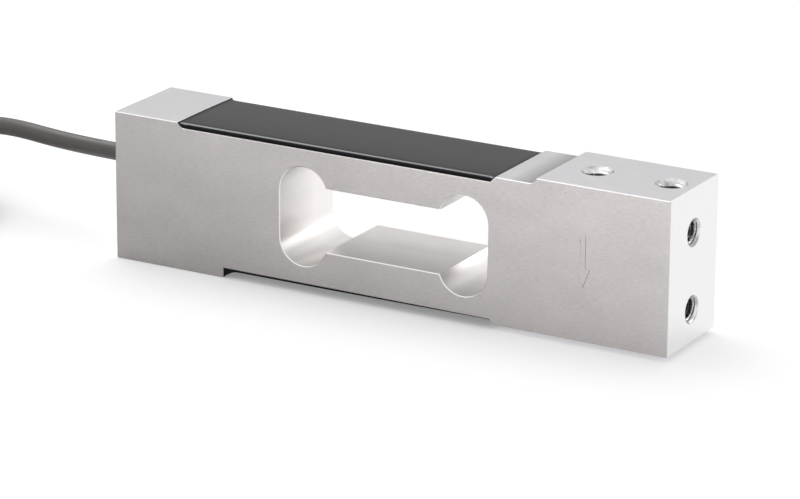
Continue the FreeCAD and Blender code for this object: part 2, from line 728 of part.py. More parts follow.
def cable_end(tail):
    """The shrunk sleeve on the jacket's end, with four cores, their tinned ends and the shield's drain."""
    heading = (tail[-1] - tail[-2]).normalize()
    outer = value("cable_diameter / 2 + sleeve_wall")
    sleeve = doc.addObject("Part::Feature", "sleeve")
    sleeve.Shape = Part.makeCylinder(outer, value("sleeve_length"), tail[-1], heading)
    keep(sleeve, "end_sleeve")
    start = tail[-1] + heading * value("sleeve_length")
    offset, core = value("core_pitch") / 2, value("core_diameter")
    conductor = value("conductor_diameter")
    side = heading.cross(Vector(0, 0, 1)).normalize()
    up = side.cross(heading)
    tips = []
    square = heading * 3.0
    for name, across, row, fork_reach, fork_spread, reach, spread in (
        ("red", -1, 1, 13.0, 1.3, 22.0, 2.3),
        ("black", 1, 1, 13.0, -0.6, 22.0, -0.8),
        ("green", -1, -1, 8.0, 2.6, 20.0, 5.6),
        ("white", 1, -1, 8.0, -1.8, 20.0, -2.6),
    ):
        first = start + side * across * offset + up * row * offset
        route = [
            first,
            first + square,
            Vector(first.x + fork_reach, first.y + fork_spread, core / 2),
            Vector(first.x + reach, first.y + spread, core / 2),
        ]
        keep(tube(f"{name}_end", route, core), f"core_{name}")
        direction = (route[-1] - route[-2]).normalize()
        tips.append(Part.makeCylinder(conductor / 2, value("conductor_length"), route[-1], direction))
    ends = doc.addObject("Part::Feature", "tinned_ends")
    ends.Shape = Part.makeCompound(tips)
    keep(ends, "tinned_ends")
    drain = [
        start,
        start + square,
        Vector(start.x + 12.0, start.y + 0.2, conductor / 2),
        Vector(start.x + 20.0, start.y + 0.1, conductor / 2),
    ]
    keep(tube("drain", drain, conductor), "drain_wire")


def top_blank():
    """The compound's outer form: as wide as the bar less an inset, with the long edges rounded."""
    body = new_body("top_blank")
    section = sketch_on(body, "top_blank_section", "YZ_Plane", f"{RECESS_START} - cutter_radius")
    level = f"({TOP} - potting_drop)"
    outline(section, [
        (f"-{POTTING_EDGE}", POCKET_FLOOR),
        (POTTING_EDGE, POCKET_FLOOR),
        (POTTING_EDGE, f"{level} - potting_round", "potting_round", 1),
        (f"{POTTING_EDGE} - potting_round", level),
        (f"-{POTTING_EDGE} + potting_round", level, "potting_round", 1),
        (f"-{POTTING_EDGE}", f"{level} - potting_round"),
    ])
    pad(body, "top_blank_bar", section, f"{RECESS_STOP} - {RECESS_START} + cutter_radius")
    return body


def bottom_blank():
    """The thin layer that covers the lower gauges, with the hollow corner where it wets the fixed step."""
    body = new_body("bottom_blank")
    section = sketch_on(body, "bottom_blank_section", "XZ_Plane")
    level = f"({BOTTOM_FLOOR} - bottom_potting)"
    outline(section, [
        (FIXED_STEP, BOTTOM_FLOOR),
        (FIXED_STEP, f"{level} - creep_drop", "creep_radius", -1),
        (f"{FIXED_STEP} + creep_run", level),
        (RECESS_STOP, level),
        (RECESS_STOP, BOTTOM_FLOOR),
    ])
    pad(body, "bottom_blank_bar", section, f"2 * {POTTING_EDGE}", symmetric=True)
    return body


bar = beam()
top_gauges, bottom_gauges = gauges("top"), gauges("bottom")
board_pieces, inner_cores = board(), inner_wiring()
upper_wires, lower_wires = bridge_wires()
cable_seal()
# the compound is poured against the bar and round everything in its recess
in_top_recess = [bar, *top_gauges, *board_pieces, *inner_cores, upper_wires, lower_wires]
keep(cut("top_fill", top_blank(), in_top_recess), "top_potting")
keep(cut("bottom_fill", bottom_blank(), [bar, *bottom_gauges, lower_wires]), "bottom_potting")

# the lead comes down on the coil's flat top, the tail leaves its side, and the tie is shaped to it
ring = keep(coil_ring(), "cable_coil")
keep(cut("tie_to_ring", tie(), [ring]), "cable_tie")
lead = tube("lead", lead_route(), value("cable_diameter"))
keep(cut("lead_to_ring", lead, [below_coil_top()]), "cable_lead")
keep(cut("tail_from_ring", tube("tail", tail_route(), value("cable_diameter")), [ring]), "cable_tail")
cable_end(tail_route())
doc.recompute()

for item in doc.Objects:
    if "Invalid" in item.State or "Error" in item.State:
        raise RuntimeError(f"{item.Label} failed: {item.State}")
for node, item in kept.items():
    if item.Shape.isNull() or not item.Shape.isValid():
        raise RuntimeError(f"{node} has no valid shape")

os.makedirs("parts", exist_ok=True)
for node, item in kept.items():
    item.Shape.exportStep(f"parts/{node}.step")
    print(f"{node}: {len(item.Shape.Solids)} solid(s), {item.Shape.Volume:.1f} cubic mm")
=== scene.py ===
"""Looks of the single point load cell: its ground bar, threads, marks, poured compound and cable.

The frame has +X from the fixed end to the load end and +Z up. Sizes are millimetres where a piece is
worked out and metres once it stands in the scene, and MM turns one into the other.
"""
import json
import math
import random

import bmesh
import bpy
from mathutils import Matrix, Vector


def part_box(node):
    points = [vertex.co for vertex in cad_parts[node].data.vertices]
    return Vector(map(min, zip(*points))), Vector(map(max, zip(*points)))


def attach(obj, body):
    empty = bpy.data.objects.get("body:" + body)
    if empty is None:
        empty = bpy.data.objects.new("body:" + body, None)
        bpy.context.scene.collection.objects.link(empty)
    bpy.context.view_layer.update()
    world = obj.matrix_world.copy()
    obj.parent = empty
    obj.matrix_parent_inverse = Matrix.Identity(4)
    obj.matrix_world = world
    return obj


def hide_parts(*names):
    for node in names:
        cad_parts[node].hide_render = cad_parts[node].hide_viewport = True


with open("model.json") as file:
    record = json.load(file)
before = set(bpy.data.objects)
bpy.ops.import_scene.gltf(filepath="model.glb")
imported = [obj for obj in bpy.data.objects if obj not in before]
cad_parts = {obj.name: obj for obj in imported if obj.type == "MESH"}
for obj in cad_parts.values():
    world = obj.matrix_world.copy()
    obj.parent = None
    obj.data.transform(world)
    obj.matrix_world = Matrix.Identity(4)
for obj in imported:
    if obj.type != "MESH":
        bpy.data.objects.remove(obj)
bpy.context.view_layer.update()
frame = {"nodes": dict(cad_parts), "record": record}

bl_info = {
    "name": "Single point load cell",
    "version": (1, 0, 0),
    "blender": (4, 5, 0),
    "location": "3D View > Sidebar > Load Cell",
    "description": "Dresses the load cell's model and sets up its studio",
    "category": "Object",
}

MM = 0.001
CAD = frame["nodes"]


def millimetres(node):
    """The lowest and highest corner of a node."""
    low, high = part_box(node)
    return low / MM, high / MM


BAR_LOW, BAR_HIGH = millimetres("beam_body")
FRONT = BAR_LOW.y


# settings

def linear(code):
    """An sRGB hex colour as linear red, green and blue."""
    parts = [int(code[place:place + 2], 16) / 255 for place in (1, 3, 5)]
    return tuple(part / 12.92 if part <= 0.04045 else ((part + 0.055) / 1.055) ** 2.4 for part in parts)


def colour_property(name, code, description):
    return bpy.props.FloatVectorProperty(
        name=name, description=description, subtype="COLOR", size=3, min=0.0, max=1.0, default=linear(code)
    )


def length_property(name, metres, description):
    return bpy.props.FloatProperty(
        name=name, description=description, unit="LENGTH", min=0.0, precision=5, default=metres
    )


class BarSettings(bpy.types.PropertyGroup):
    """The bar's finish, threads and scribed arrow."""
    colour: colour_property("Ground sides", "#b4b0af", "Sides, ground lengthwise")
    top_colour: colour_property("Milled faces", "#e8e6e8", "Top, underside and steps, milled lengthwise")
    bright_colour: colour_property("Bright faces", "#edecec", "Ends and holes, cut with a sharp tool")
    window_colour: colour_property("Window", "#f2eeec", "Wall of the window, cut with a long end mill")
    # the floor colour of the scribed lines and the pits is painted shade in the groove
    mark_colour: colour_property("Scribed line", "#6b6663", "Floor of the scribed lines and of the pits")
    pitch: length_property("Thread pitch", 1.0 * MM, "Rise of the M6 thread in one turn")
    major_radius: length_property("Thread radius", 3.0 * MM, "Major radius of the M6 thread")
    line_width: length_property("Line width", 0.2 * MM, "Width of the darker scribed lines")


class CompoundSettings(bpy.types.PropertyGroup):
    """The poured compound over and under the bar."""
    colour: colour_property("Compound", "#0e0e10", "Poured resin in the recesses")
    edge_run: length_property("Edge run", 1.7 * MM, "How far the top's long edges round over, across the bar")
    edge_drop: length_property("Edge drop", 1.0 * MM, "How far the top's long edges round over, downward")
    climb: length_property("Climb", 0.16 * MM, "Rise of the compound where it wets the fixed block's step")


class CableSettings(bpy.types.PropertyGroup):
    """The cable, its tie and its end."""
    diameter: length_property("Diameter", 4.4 * MM, "Outer diameter of the jacket")
    colour: colour_property("Jacket", "#504a49", "Extruded jacket")
    tie_colour: colour_property("Tie", "#d9d6cd", "Moulded tie round the coil")


class StageSettings(bpy.types.PropertyGroup):
    """The floor, the lamps and the camera."""
    floor_colour: colour_property("Floor", "#f4f4f5", "Matt floor")
    lens: bpy.props.FloatProperty(
        name="Lens", description="Focal length on a 36 mm wide sensor", default=184.8, min=1.0, unit="CAMERA"
    )
    azimuth: bpy.props.FloatProperty(
        name="Azimuth", description="Turn of the view to the right of the bar's side",
        default=math.radians(29.697), subtype="ANGLE", unit="ROTATION",
    )
    elevation: bpy.props.FloatProperty(
        name="Elevation", description="How steeply the camera looks down",
        default=math.radians(18.241), subtype="ANGLE", unit="ROTATION",
    )
    roll: bpy.props.FloatProperty(
        name="Roll", description="Lean of the camera", default=math.radians(0.38), subtype="ANGLE",
        unit="ROTATION",
    )


# nodes and materials

def add_node(tree, kind, inputs=None, **settings):
    """A node with its settings. Each input takes a number, a colour or the output that feeds it."""
    node = tree.nodes.new(kind)
    for name, setting in settings.items():
        setattr(node, name, setting)
    for name, source in (inputs or {}).items():
        if isinstance(source, bpy.types.NodeSocket):
            tree.links.new(source, node.inputs[name])
        else:
            node.inputs[name].default_value = source
    return node


def new_material(name, colour, roughness, **sockets):
    """A material with one shader, whose other sockets are named by their labels with underscores."""
    material = bpy.data.materials.new(name)
    material.use_nodes = True
    tree = material.node_tree
    shader = tree.nodes["Principled BSDF"]
    shader.inputs["Base Color"].default_value = (*colour, 1.0)
    shader.inputs["Roughness"].default_value = roughness
    for socket, setting in sockets.items():
        shader.inputs[socket.replace("_", " ")].default_value = setting
    return material, tree, shader


def cloud(tree, size, detail=2.0, roughness=0.5):
    """Noise whose features have the size given, in millimetres along X, Y and Z."""
    place = add_node(tree, "ShaderNodeTexCoord").outputs["Object"]
    scale = [1.0 / (length * MM) for length in size]
    spread = add_node(tree, "ShaderNodeMapping", {"Vector": place, "Scale": scale})
    noise = add_node(tree, "ShaderNodeTexNoise", {
        "Vector": spread.outputs["Vector"], "Scale": 1.0, "Detail": detail, "Roughness": roughness,
    })
    return noise.outputs["Fac"]


def between(tree, factor, low, high):
    """A number that follows a pattern from one value to another."""
    return add_node(tree, "ShaderNodeMapRange", {
        "Value": factor, "From Min": 0.3, "From Max": 0.7, "To Min": low, "To Max": high,
    }).outputs["Result"]


def shaded(tree, colour, factor, dark, light):
    """The colour, made darker and lighter by a pattern."""
    tint = between(tree, factor, dark, light)
    return add_node(tree, "ShaderNodeVectorMath", {0: colour, 1: tint}, operation="MULTIPLY").outputs[0]


def rising(tree, axis, span, values):
    """A number that changes evenly over a span of millimetres on one axis."""
    place = add_node(tree, "ShaderNodeSeparateXYZ", {
        "Vector": add_node(tree, "ShaderNodeTexCoord").outputs["Object"],
    })
    return add_node(tree, "ShaderNodeMapRange", {
        "Value": place.outputs[axis], "From Min": span[0] * MM, "From Max": span[1] * MM,
        "To Min": values[0], "To Max": values[1],
    }).outputs["Result"]


def graded(tree, colour, axis, span, tones):
    """The colour, whose tone changes evenly over a span of millimetres on one axis."""
    tone = rising(tree, axis, span, tones)
    return add_node(tree, "ShaderNodeVectorMath", {0: colour, 1: tone}, operation="MULTIPLY").outputs[0]


def raised(tree, shader, factor, height):
    """Relief on the shader that follows a pattern, with its height in millimetres."""
    bump = add_node(tree, "ShaderNodeBump", {"Height": factor, "Strength": 1.0, "Distance": height * MM})
    tree.links.new(bump.outputs["Normal"], shader.inputs["Normal"])


def ground_aluminium(colour):
    """Aluminium alloy, ground lengthwise on a coarse wheel. Short streaks along X break its sheen, and faint
    clouds show where the wheel bit more.
    Its colour also carries painted light, brighter towards the load end, and painted shade, duller low down."""
    material, tree, shader = new_material("ground_aluminium", colour, 0.42, Metallic=1.0)
    # the grain is drawn at about a pixel, coarser than the wheel's scratches
    streaks = cloud(tree, (1.5, 0.24, 0.24), detail=2.0, roughness=0.6)
    clouds = cloud(tree, (16.0, 8.0, 8.0), detail=3.0)
    toned = shaded(tree, colour, streaks, 0.9, 1.1)
    toned = shaded(tree, toned, clouds, 0.95, 1.04)
    # painted light and shade, set from the photo: a painted light brighter towards the load end, and painted
    # shade duller low down
    toned = graded(tree, toned, "X", (-75.0, 75.0), (0.96, 1.36))
    toned = graded(tree, toned, "Z", (0.0, 36.0), (0.8, 1.08))
    tree.links.new(toned, shader.inputs["Base Color"])
    tree.links.new(between(tree, streaks, 0.36, 0.5), shader.inputs["Roughness"])
    raised(tree, shader, streaks, 0.006)
    return material


def milled_aluminium(name, colour, line, contrast, painted_tones=()):
    """Aluminium alloy cut by a sharp mill: brighter and closer than the ground sides, with faint lines the
    way the tool went.
    Each painted tone paints light and shade along one axis, set from the photo."""
    material, tree, shader = new_material(name, colour, 0.3, Metallic=1.0)
    lines = cloud(tree, line, detail=2.0)
    toned = shaded(tree, colour, lines, 1 - contrast, 1 + contrast)
    for painted_tone in painted_tones:
        toned = graded(tree, toned, *painted_tone)
    tree.links.new(toned, shader.inputs["Base Color"])
    tree.links.new(between(tree, lines, 0.28, 0.33), shader.inputs["Roughness"])
    raised(tree, shader, lines, 0.0008)
    return material


def countersunk_aluminium(colour):
    """Aluminium cut by a countersink, which chatters: bright and dull arcs round the rim of a hole."""
    material, tree, shader = new_material("countersunk_aluminium", colour, 0.3, Metallic=1.0)
    chatter = cloud(tree, (2.4, 2.4, 2.4), detail=1.0)
    tree.links.new(shaded(tree, colour, chatter, 0.42, 0.98), shader.inputs["Base Color"])
    raised(tree, shader, chatter, 0.01)
    return material


def tapped_aluminium(colour):
    """Aluminium cut by a tap: bright flanks with fine tears that darken them here and there, on a colour
    darkened throughout as painted shade inside the hole.
    """
    material, tree, shader = new_material("tapped_aluminium", colour, 0.26, Metallic=1.0)
    tears_and_shade = cloud(tree, (0.5, 0.5, 0.25), detail=2.0)
    tree.links.new(shaded(tree, colour, tears_and_shade, 0.15, 0.85), shader.inputs["Base Color"])
    raised(tree, shader, tears_and_shade, 0.004)
    return material


def groove_shade_aluminium(colour):
    """The floor of a scribed line or a pit: a dark colour that paints the shade in the groove, so it shows as
    a dark hairline.
    """
    material, tree, shader = new_material("groove_shade_aluminium", colour, 0.7, Metallic=0.6)
    groove_mottle = cloud(tree, (0.3, 0.3, 0.3))
    tree.links.new(shaded(tree, colour, groove_mottle, 0.8, 1.2), shader.inputs["Base Color"])
    return material


def poured_resin(colour):
    """Black epoxy, poured and cured with a skin: glossy, with a very shallow unevenness that bends
    reflections. Its sheen is weaker along the near edge, set from the photo."""
    material, tree, shader = new_material(
        "poured_resin", colour, 0.13, IOR=1.46, Specular_Tint=(0.95, 0.93, 1, 1)
    )
    waves = cloud(tree, (60.0, 2.5, 2.5), detail=1.0)
    tree.links.new(between(tree, waves, 0.08, 0.2), shader.inputs["Roughness"])
    tree.links.new(rising(tree, "Y", (-11.5, -3.0), (0.36, 0.49)), shader.inputs["Specular IOR Level"])
    raised(tree, shader, waves, 0.01)
    return material


def dull_resin(colour):
    """The same epoxy where it lay against the mould's tape or ran thin over the step: dull and darker."""
    material, tree, shader = new_material("dull_resin", colour, 0.55, Specular_IOR_Level=0.1)
    skin = cloud(tree, (0.8, 0.8, 0.8))
    tree.links.new(between(tree, skin, 0.45, 0.65), shader.inputs["Roughness"])
    raised(tree, shader, skin, 0.006)
    return material


def extruded_pvc(name, colour, roughness, grain=0.5):
    """Extruded PVC: satin, with the fine orange-peel that the die leaves and slight scuffs."""
    material, tree, shader = new_material(name, colour, roughness, IOR=1.53)
    peel = cloud(tree, (grain, grain, grain), detail=2.0)
    scuffs = cloud(tree, (6.0, 6.0, 6.0), detail=3.0)
    tree.links.new(shaded(tree, colour, scuffs, 0.92, 1.1), shader.inputs["Base Color"])
    tree.links.new(between(tree, scuffs, roughness - 0.05, roughness + 0.08), shader.inputs["Roughness"])
    raised(tree, shader, peel, 0.012)
    return material


def cured_sealant(colour):
    """Black sealing compound, smoothed wet round the cable: satin with soft lumps."""
    material, tree, shader = new_material("cured_sealant", colour, 0.38, IOR=1.45)
    lumps = cloud(tree, (1.2, 1.2, 1.2))
    tree.links.new(between(tree, lumps, 0.3, 0.46), shader.inputs["Roughness"])
    raised(tree, shader, lumps, 0.05)
    return material


def moulded_nylon(colour):
    """Natural nylon, injection moulded: slightly translucent, so light softens inside its edges."""
    material, tree, shader = new_material(
        "moulded_nylon", colour, 0.42, IOR=1.53, Subsurface_Weight=0.25, Subsurface_Scale=0.4 * MM
    )
    texture = cloud(tree, (0.4, 0.4, 0.4))
    tree.links.new(shaded(tree, colour, texture, 0.96, 1.03), shader.inputs["Base Color"])
    raised(tree, shader, texture, 0.004)
    return material


def shrunk_polyolefin(colour):
    """Heat-shrunk polyolefin: dull black with shallow rings where it drew in."""
    material, tree, shader = new_material("shrunk_polyolefin", colour, 0.48, IOR=1.5)
    rings = cloud(tree, (0.7, 4.0, 4.0))
    tree.links.new(between(tree, rings, 0.4, 0.56), shader.inputs["Roughness"])
    raised(tree, shader, rings, 0.02)
    return material


def tinned_copper():
    """Copper strands dipped in tin: silvery, a little uneven where the tin ran."""
    colour = linear("#c9c8c4")
    material, tree, shader = new_material("tinned_copper", colour, 0.28, Metallic=1.0)
    runs = cloud(tree, (0.8, 0.25, 0.25))
    tree.links.new(shaded(tree, colour, runs, 0.85, 1.08), shader.inputs["Base Color"])
    raised(tree, shader, runs, 0.02)
    return material


def rolled_copper(name, code, roughness):
    """Bare rolled copper: warm metal with fine rolling lines along its length."""
    colour = linear(code)
    material, tree, shader = new_material(name, colour, roughness, Metallic=1.0)
    lines = cloud(tree, (2.0, 0.08, 0.08))
    tree.links.new(shaded(tree, colour, lines, 0.85, 1.1), shader.inputs["Base Color"])
    raised(tree, shader, lines, 0.002)
    return material


def foil_on_polyimide():
    """Amber polyimide film with the foil grid of a strain gauge: narrow grey loops that run along the bar."""
    film, foil = linear("#b5792a"), linear("#8f8a80")
    material, tree, shader = new_material("foil_on_polyimide", film, 0.3, IOR=1.7)
    place = add_node(tree, "ShaderNodeTexCoord").outputs["Object"]
    # a loop of foil every 0.6 mm across the bar
    loops = add_node(tree, "ShaderNodeTexWave", {
        "Vector": place, "Scale": 1.0 / (0.6 * MM * 3.2), "Distortion": 0.0,
    }, bands_direction="Y")
    grid = add_node(tree, "ShaderNodeMath", {0: loops.outputs["Fac"], 1: 0.5}, operation="GREATER_THAN")
    mixed = add_node(tree, "ShaderNodeMix", {"Factor": grid.outputs[0]}, data_type="RGBA")
    mixed.inputs[6].default_value, mixed.inputs[7].default_value = (*film, 1.0), (*foil, 1.0)
    tree.links.new(mixed.outputs[2], shader.inputs["Base Color"])
    raised(tree, shader, grid.outputs[0], 0.005)
    return material


def glass_laminate():
    """Green glass-fibre laminate: the weave of the cloth shows through the solder mask."""
    colour = linear("#2c5a34")
    material, tree, shader = new_material("glass_laminate", colour, 0.35, IOR=1.55)
    weave = cloud(tree, (0.5, 0.5, 0.5), detail=0.0)
    tree.links.new(shaded(tree, colour, weave, 0.85, 1.12), shader.inputs["Base Color"])
    raised(tree, shader, weave, 0.01)
    return material


def glazed_ceramic():
    """A chip resistor's black glaze: smooth with rounded, slightly uneven gloss."""
    colour = linear("#26262a")
    material, tree, shader = new_material("glazed_ceramic", colour, 0.25, IOR=1.6)
    glaze = cloud(tree, (0.6, 0.6, 0.6))
    tree.links.new(between(tree, glaze, 0.18, 0.34), shader.inputs["Roughness"])
    raised(tree, shader, glaze, 0.01)
    return material


# meshes

def smooth(mesh, degrees=30.0):
    """Smooth shading, with edges kept where faces turn by more than the angle."""
    mesh.polygons.foreach_set("use_smooth", [True] * len(mesh.polygons))
    mesh.set_sharp_from_angle(angle=math.radians(degrees))


def mesh_object(name, vertices, faces, material, to_world=Matrix.Identity(4)):
    """An object whose mesh is given in millimetres, turned and moved by a matrix in millimetres too."""
    mesh = bpy.data.meshes.new(name)
    mesh.from_pydata([(to_world @ Vector(vertex)) * MM for vertex in vertices], [], faces)
    mesh.materials.append(material)
    item = bpy.data.objects.new(name, mesh)
    bpy.context.scene.collection.objects.link(item)
    return item


def settle(piece, slot, *nodes):
    """The piece rides on the one body and stands for its nodes, which are hidden. The slot is not used."""
    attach(piece, "root")
    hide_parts(*nodes)


def loft(rings, closed=False):
    """Vertices and faces of a skin through rings of equal count. An open loft gets flat ends."""
    count = len(rings[0])
    vertices = [point for ring in rings for point in ring]
    faces = []
    for number in range(len(rings) if closed else len(rings) - 1):
        start, following = number * count, (number + 1) % len(rings) * count
        for side in range(count):
            onward = (side + 1) % count
            faces.append((start + side, start + onward, following + onward, following + side))
    if not closed:
        faces.append(tuple(reversed(range(count))))
        faces.append(tuple(range(len(vertices) - count, len(vertices))))
    return vertices, faces


def joined(*parts):
    """The vertices and faces of several skins as one."""
    vertices, faces = [], []
    for part_vertices, part_faces in parts:
        faces += [tuple(corner + len(vertices) for corner in face) for face in part_faces]
        vertices += part_vertices
    return vertices, faces


def sheet(name, half_length, half_width, level, material, to_world=Matrix.Identity(4)):
    """A level rectangle about the origin, in millimetres before the matrix moves it."""
    corners = [
        (-half_length, -half_width, level), (half_length, -half_width, level),
        (half_length, half_width, level), (-half_length, half_width, level),
    ]
    return mesh_object(name, corners, [(0, 1, 2, 3)], material, to_world)


def outward(piece):
    """Turns every face of a closed mesh to look outward."""
    shell = bmesh.new()
    shell.from_mesh(piece.data)
    bmesh.ops.recalc_face_normals(shell, faces=shell.faces)
    shell.to_mesh(piece.data)
    shell.free()


def paint(node, material):
    """Gives a node of the model its finish."""
    CAD[node].data.materials.clear()
    CAD[node].data.materials.append(material)


# the bar

# a face that lies nearer to the bar's middle plane than this belongs to a hole
HOLE_REACH = 9.0
# the window, with the metal round it
WINDOW_LOW, WINDOW_HIGH, WINDOW_REACH, SLOT_REACH = 4.5, 34.0, 29.0, 10.0
# the flat between the compound and the load pad's step, which is painted darker towards the step as shade
FLAT_START, FLAT_END = 30.1, 40.6
# shares of a face's normal along an axis: square to it, slanted to it, and hardly turned to it
SQUARE, SLANTED, ENDWAYS = 0.99, 0.5, 0.1
# a face this near to the bar's end belongs to it
END_BREAK = 0.3
# points nearer than this are one, and faces that turn by less than these degrees are one flat face
WELD_DISTANCE, FLAT_ANGLE = 0.001, 0.2
# painted shade and light as tones along an axis, over a span of millimetres: painted shade on the lobes at
# their near rim, crown and bottom, on the slot at its near rim and on the flat by the load pad's step, and a
# painted light that brightens the levels towards the load end
WINDOW_PAINTED_SHADE = (
    ("Y", (-12.5, 4.0), (0.62, 1.0)), ("Z", (26.0, 36.0), (1.0, 0.5)), ("Z", (1.0, 5.0), (0.7, 1.0)),
)
SLOT_PAINTED_SHADE = (("Y", (-12.5, -2.0), (0.72, 1.0)),)
STEP_PAINTED_SHADE = (("X", (33.0, 39.0), (1.0, 0.5)),)
TOP_PAINTED_LIGHT = (("X", (-75.0, 75.0), (0.93, 1.04)),)
# thread: rows of one turn as a share of the pitch, from crest to crest
CREST, ROOT_START, ROOT_END = 0.0, 0.4375, 0.5625
THREAD_COLUMNS = 36
THREAD_TURNS = 11
# the screw starts this far outside the countersink's foot, and stands clear of the hole's wall by the gap
THREAD_LEAD = 2.0
THREAD_GAP = 0.2
THREAD_MARGIN = 0.25

# scribed load arrow on the near side, as lines between points along and up the bar: an open shaft over an
# open head; a strong line is as wide as the setting, a faint one half as wide
ARROW_LINES = (
    ((53.7, 27.0), (53.7, 19.1), 0.5),
    ((52.4, 26.8), (52.4, 20.2), 0.13),
    ((52.35, 20.2), (52.9, 20.2), 0.16),
    ((51.3, 18.9), (53.1, 14.3), 0.14),
    ((54.9, 19.0), (53.1, 14.3), 0.5),
    ((51.3, 18.9), (52.2, 18.9), 0.13),
    ((53.9, 19.05), (54.9, 19.0), 0.16),
)
LINE_DEPTH = 0.09
# a pit's corners, its height as a share of its length, and the seed of its ragged rim
PIT_SIDES, PIT_FLATNESS, PIT_SEED = 7, 0.7, 7
# pits on the near side, as a place along and up the bar with a radius
PITS = (
    (52.3, 25.45, 0.2), (64.4, 38.2, 0.14), (44.4, 37.0, 0.13), (48.3, 36.5, 0.14), (68.0, 30.8, 0.11),
    (66.0, 22.0, 0.1), (55.5, 16.4, 0.11), (58.5, 16.2, 0.12), (67.3, 13.8, 0.1), (68.3, 23.1, 0.09),
    (58.3, 1.9, 0.12), (-65.5, 34.4, 0.12), (-64.2, 33.0, 0.1), (-62.3, 31.8, 0.1),
    (-3.3, 29.0, 0.12), (2.6, 33.2, 0.1), (2.6, 28.1, 0.1), (5.2, 31.9, 0.13), (7.2, 31.5, 0.1),
    (10.4, 33.0, 0.11), (-7.7, 32.1, 0.09), (3.3, 6.7, 0.1), (3.3, 4.2, 0.12),
)


def tapped_holes():
    """The foot of each tapped hole's countersink, and the direction into the bar."""
    for mount in frame["record"]["mounts"]:
        if mount["kind"] != "bolt_pattern":
            continue
        inward = -Vector(mount["axis"])
        upright = abs(inward.z) > abs(inward.x)
        row = Vector((1, 0, 0)) if upright else Vector((0, 0, 1))
        spacing = mount["dims"]["spacing_x_mm" if upright else "spacing_y_mm"]
        for side in (-0.5, 0.5):
            yield Vector(mount["pos_m"]) / MM + row * spacing * side, inward, mount["dims"]["hole_r_mm"]


def thread_cutter(foot, inward, hole_radius, material):
    """A screw whose ridge cuts a right-hand thread into a hole's wall. The ridge rises over the first turn
    and sinks over the last, so both ends of the screw stay clear of the wall."""
    settings = bpy.context.scene.load_cell_bar
    pitch, outer = settings.pitch / MM, settings.major_radius / MM
    inner = hole_radius - THREAD_GAP
    shares = (CREST, ROOT_START, ROOT_END)
    rows = len(shares) * THREAD_TURNS + 1
    top = pitch * (THREAD_TURNS + 1) - THREAD_LEAD + THREAD_MARGIN
    vertices = []
    for column in range(THREAD_COLUMNS):
        lag = column / THREAD_COLUMNS
        around = Vector((math.cos(2 * math.pi * lag), math.sin(2 * math.pi * lag), 0))
        vertices.append(around * inner + Vector((0, 0, -THREAD_LEAD - THREAD_MARGIN)))
        for row in range(rows):
            turn, share = divmod(row, len(shares))
            travel = turn + lag
            ridge = min(1.0, travel, THREAD_TURNS - 1 / THREAD_COLUMNS - travel) if share else 0.0
            radius = inner + (outer - inner) * max(0.0, ridge)
            vertices.append(around * radius + Vector((0, 0, pitch * (travel + shares[share]) - THREAD_LEAD)))
        vertices.append(around * inner + Vector((0, 0, top)))
    stride, last = rows + 2, THREAD_COLUMNS - 1
    step = len(shares)
    faces = []
    for column in range(last):
        here, beside = column * stride, (column + 1) * stride
        faces += [(here + row, beside + row, beside + row + 1, here + row + 1) for row in range(stride - 1)]
    # the last column meets the first one a turn further on
    edge = last * stride
    faces += [
        (edge + row, row + step, row + step + 1, edge + row + 1) for row in range(1, rows - step)
    ]
    faces.append((edge, 0, *range(1, step + 2), edge + 1))
    faces.append((
        edge + rows - step, rows, rows + 1, edge + rows + 1, *range(edge + rows, edge + rows - step, -1),
    ))
    faces.append(tuple(column * stride for column in reversed(range(THREAD_COLUMNS))))
    faces.append(tuple(column * stride + rows + 1 for column in range(THREAD_COLUMNS)))
    place = Matrix.Translation(foot) @ inward.to_track_quat("Z", "X").to_matrix().to_4x4()
    return mesh_object("thread", vertices, faces, material, place)


def scribed_line(start, end, width, material):
    """A V-shaped cut from the near side's face, tapering at both ends."""
    along = Vector((end[0] - start[0], 0, end[1] - start[1]))
    across = along.normalized().cross(Vector((0, 1, 0))) * width
    run = along.normalized() * width
    first, second = Vector((start[0], FRONT, start[1])), Vector((end[0], FRONT, end[1]))
    lift, sink = Vector((0, -LINE_DEPTH, 0)), Vector((0, LINE_DEPTH, 0))
    # the wedge is twice as wide where it stands out of the face as where it meets it
    vertices = [
        first + across + lift, first - across + lift, second + across + lift, second - across + lift,
        first + run + sink, second - run + sink,
    ]
    faces = [(0, 2, 3, 1), (0, 1, 4), (2, 5, 3), (0, 4, 5, 2), (1, 3, 5, 4)]
    line = mesh_object("scribed", vertices, faces, material)
    outward(line)
    return line


def pit_cutters(material):
    """Small irregular dents in the near side, as one cutter."""
    chance = random.Random(PIT_SEED)
    sides = PIT_SIDES
    vertices, faces = [], []
    for along, up, radius in PITS:
        start = len(vertices)
        centre = Vector((along, FRONT, up))
        for side in range(sides):
            angle = 2 * math.pi * side / sides
            reach = 2 * radius * chance.uniform(0.7, 1.15)
            rim = Vector((math.cos(angle) * reach, -radius, math.sin(angle) * reach * PIT_FLATNESS))
            vertices.append(centre + rim)
        vertices.append(centre + Vector((0, radius, 0)))
        faces.append(tuple(range(start, start + sides)))
        faces += [(start + side, start + (side + 1) % sides, start + sides) for side in range(sides)]
    pits = mesh_object("pits", vertices, faces, material)
    outward(pits)
    return pits


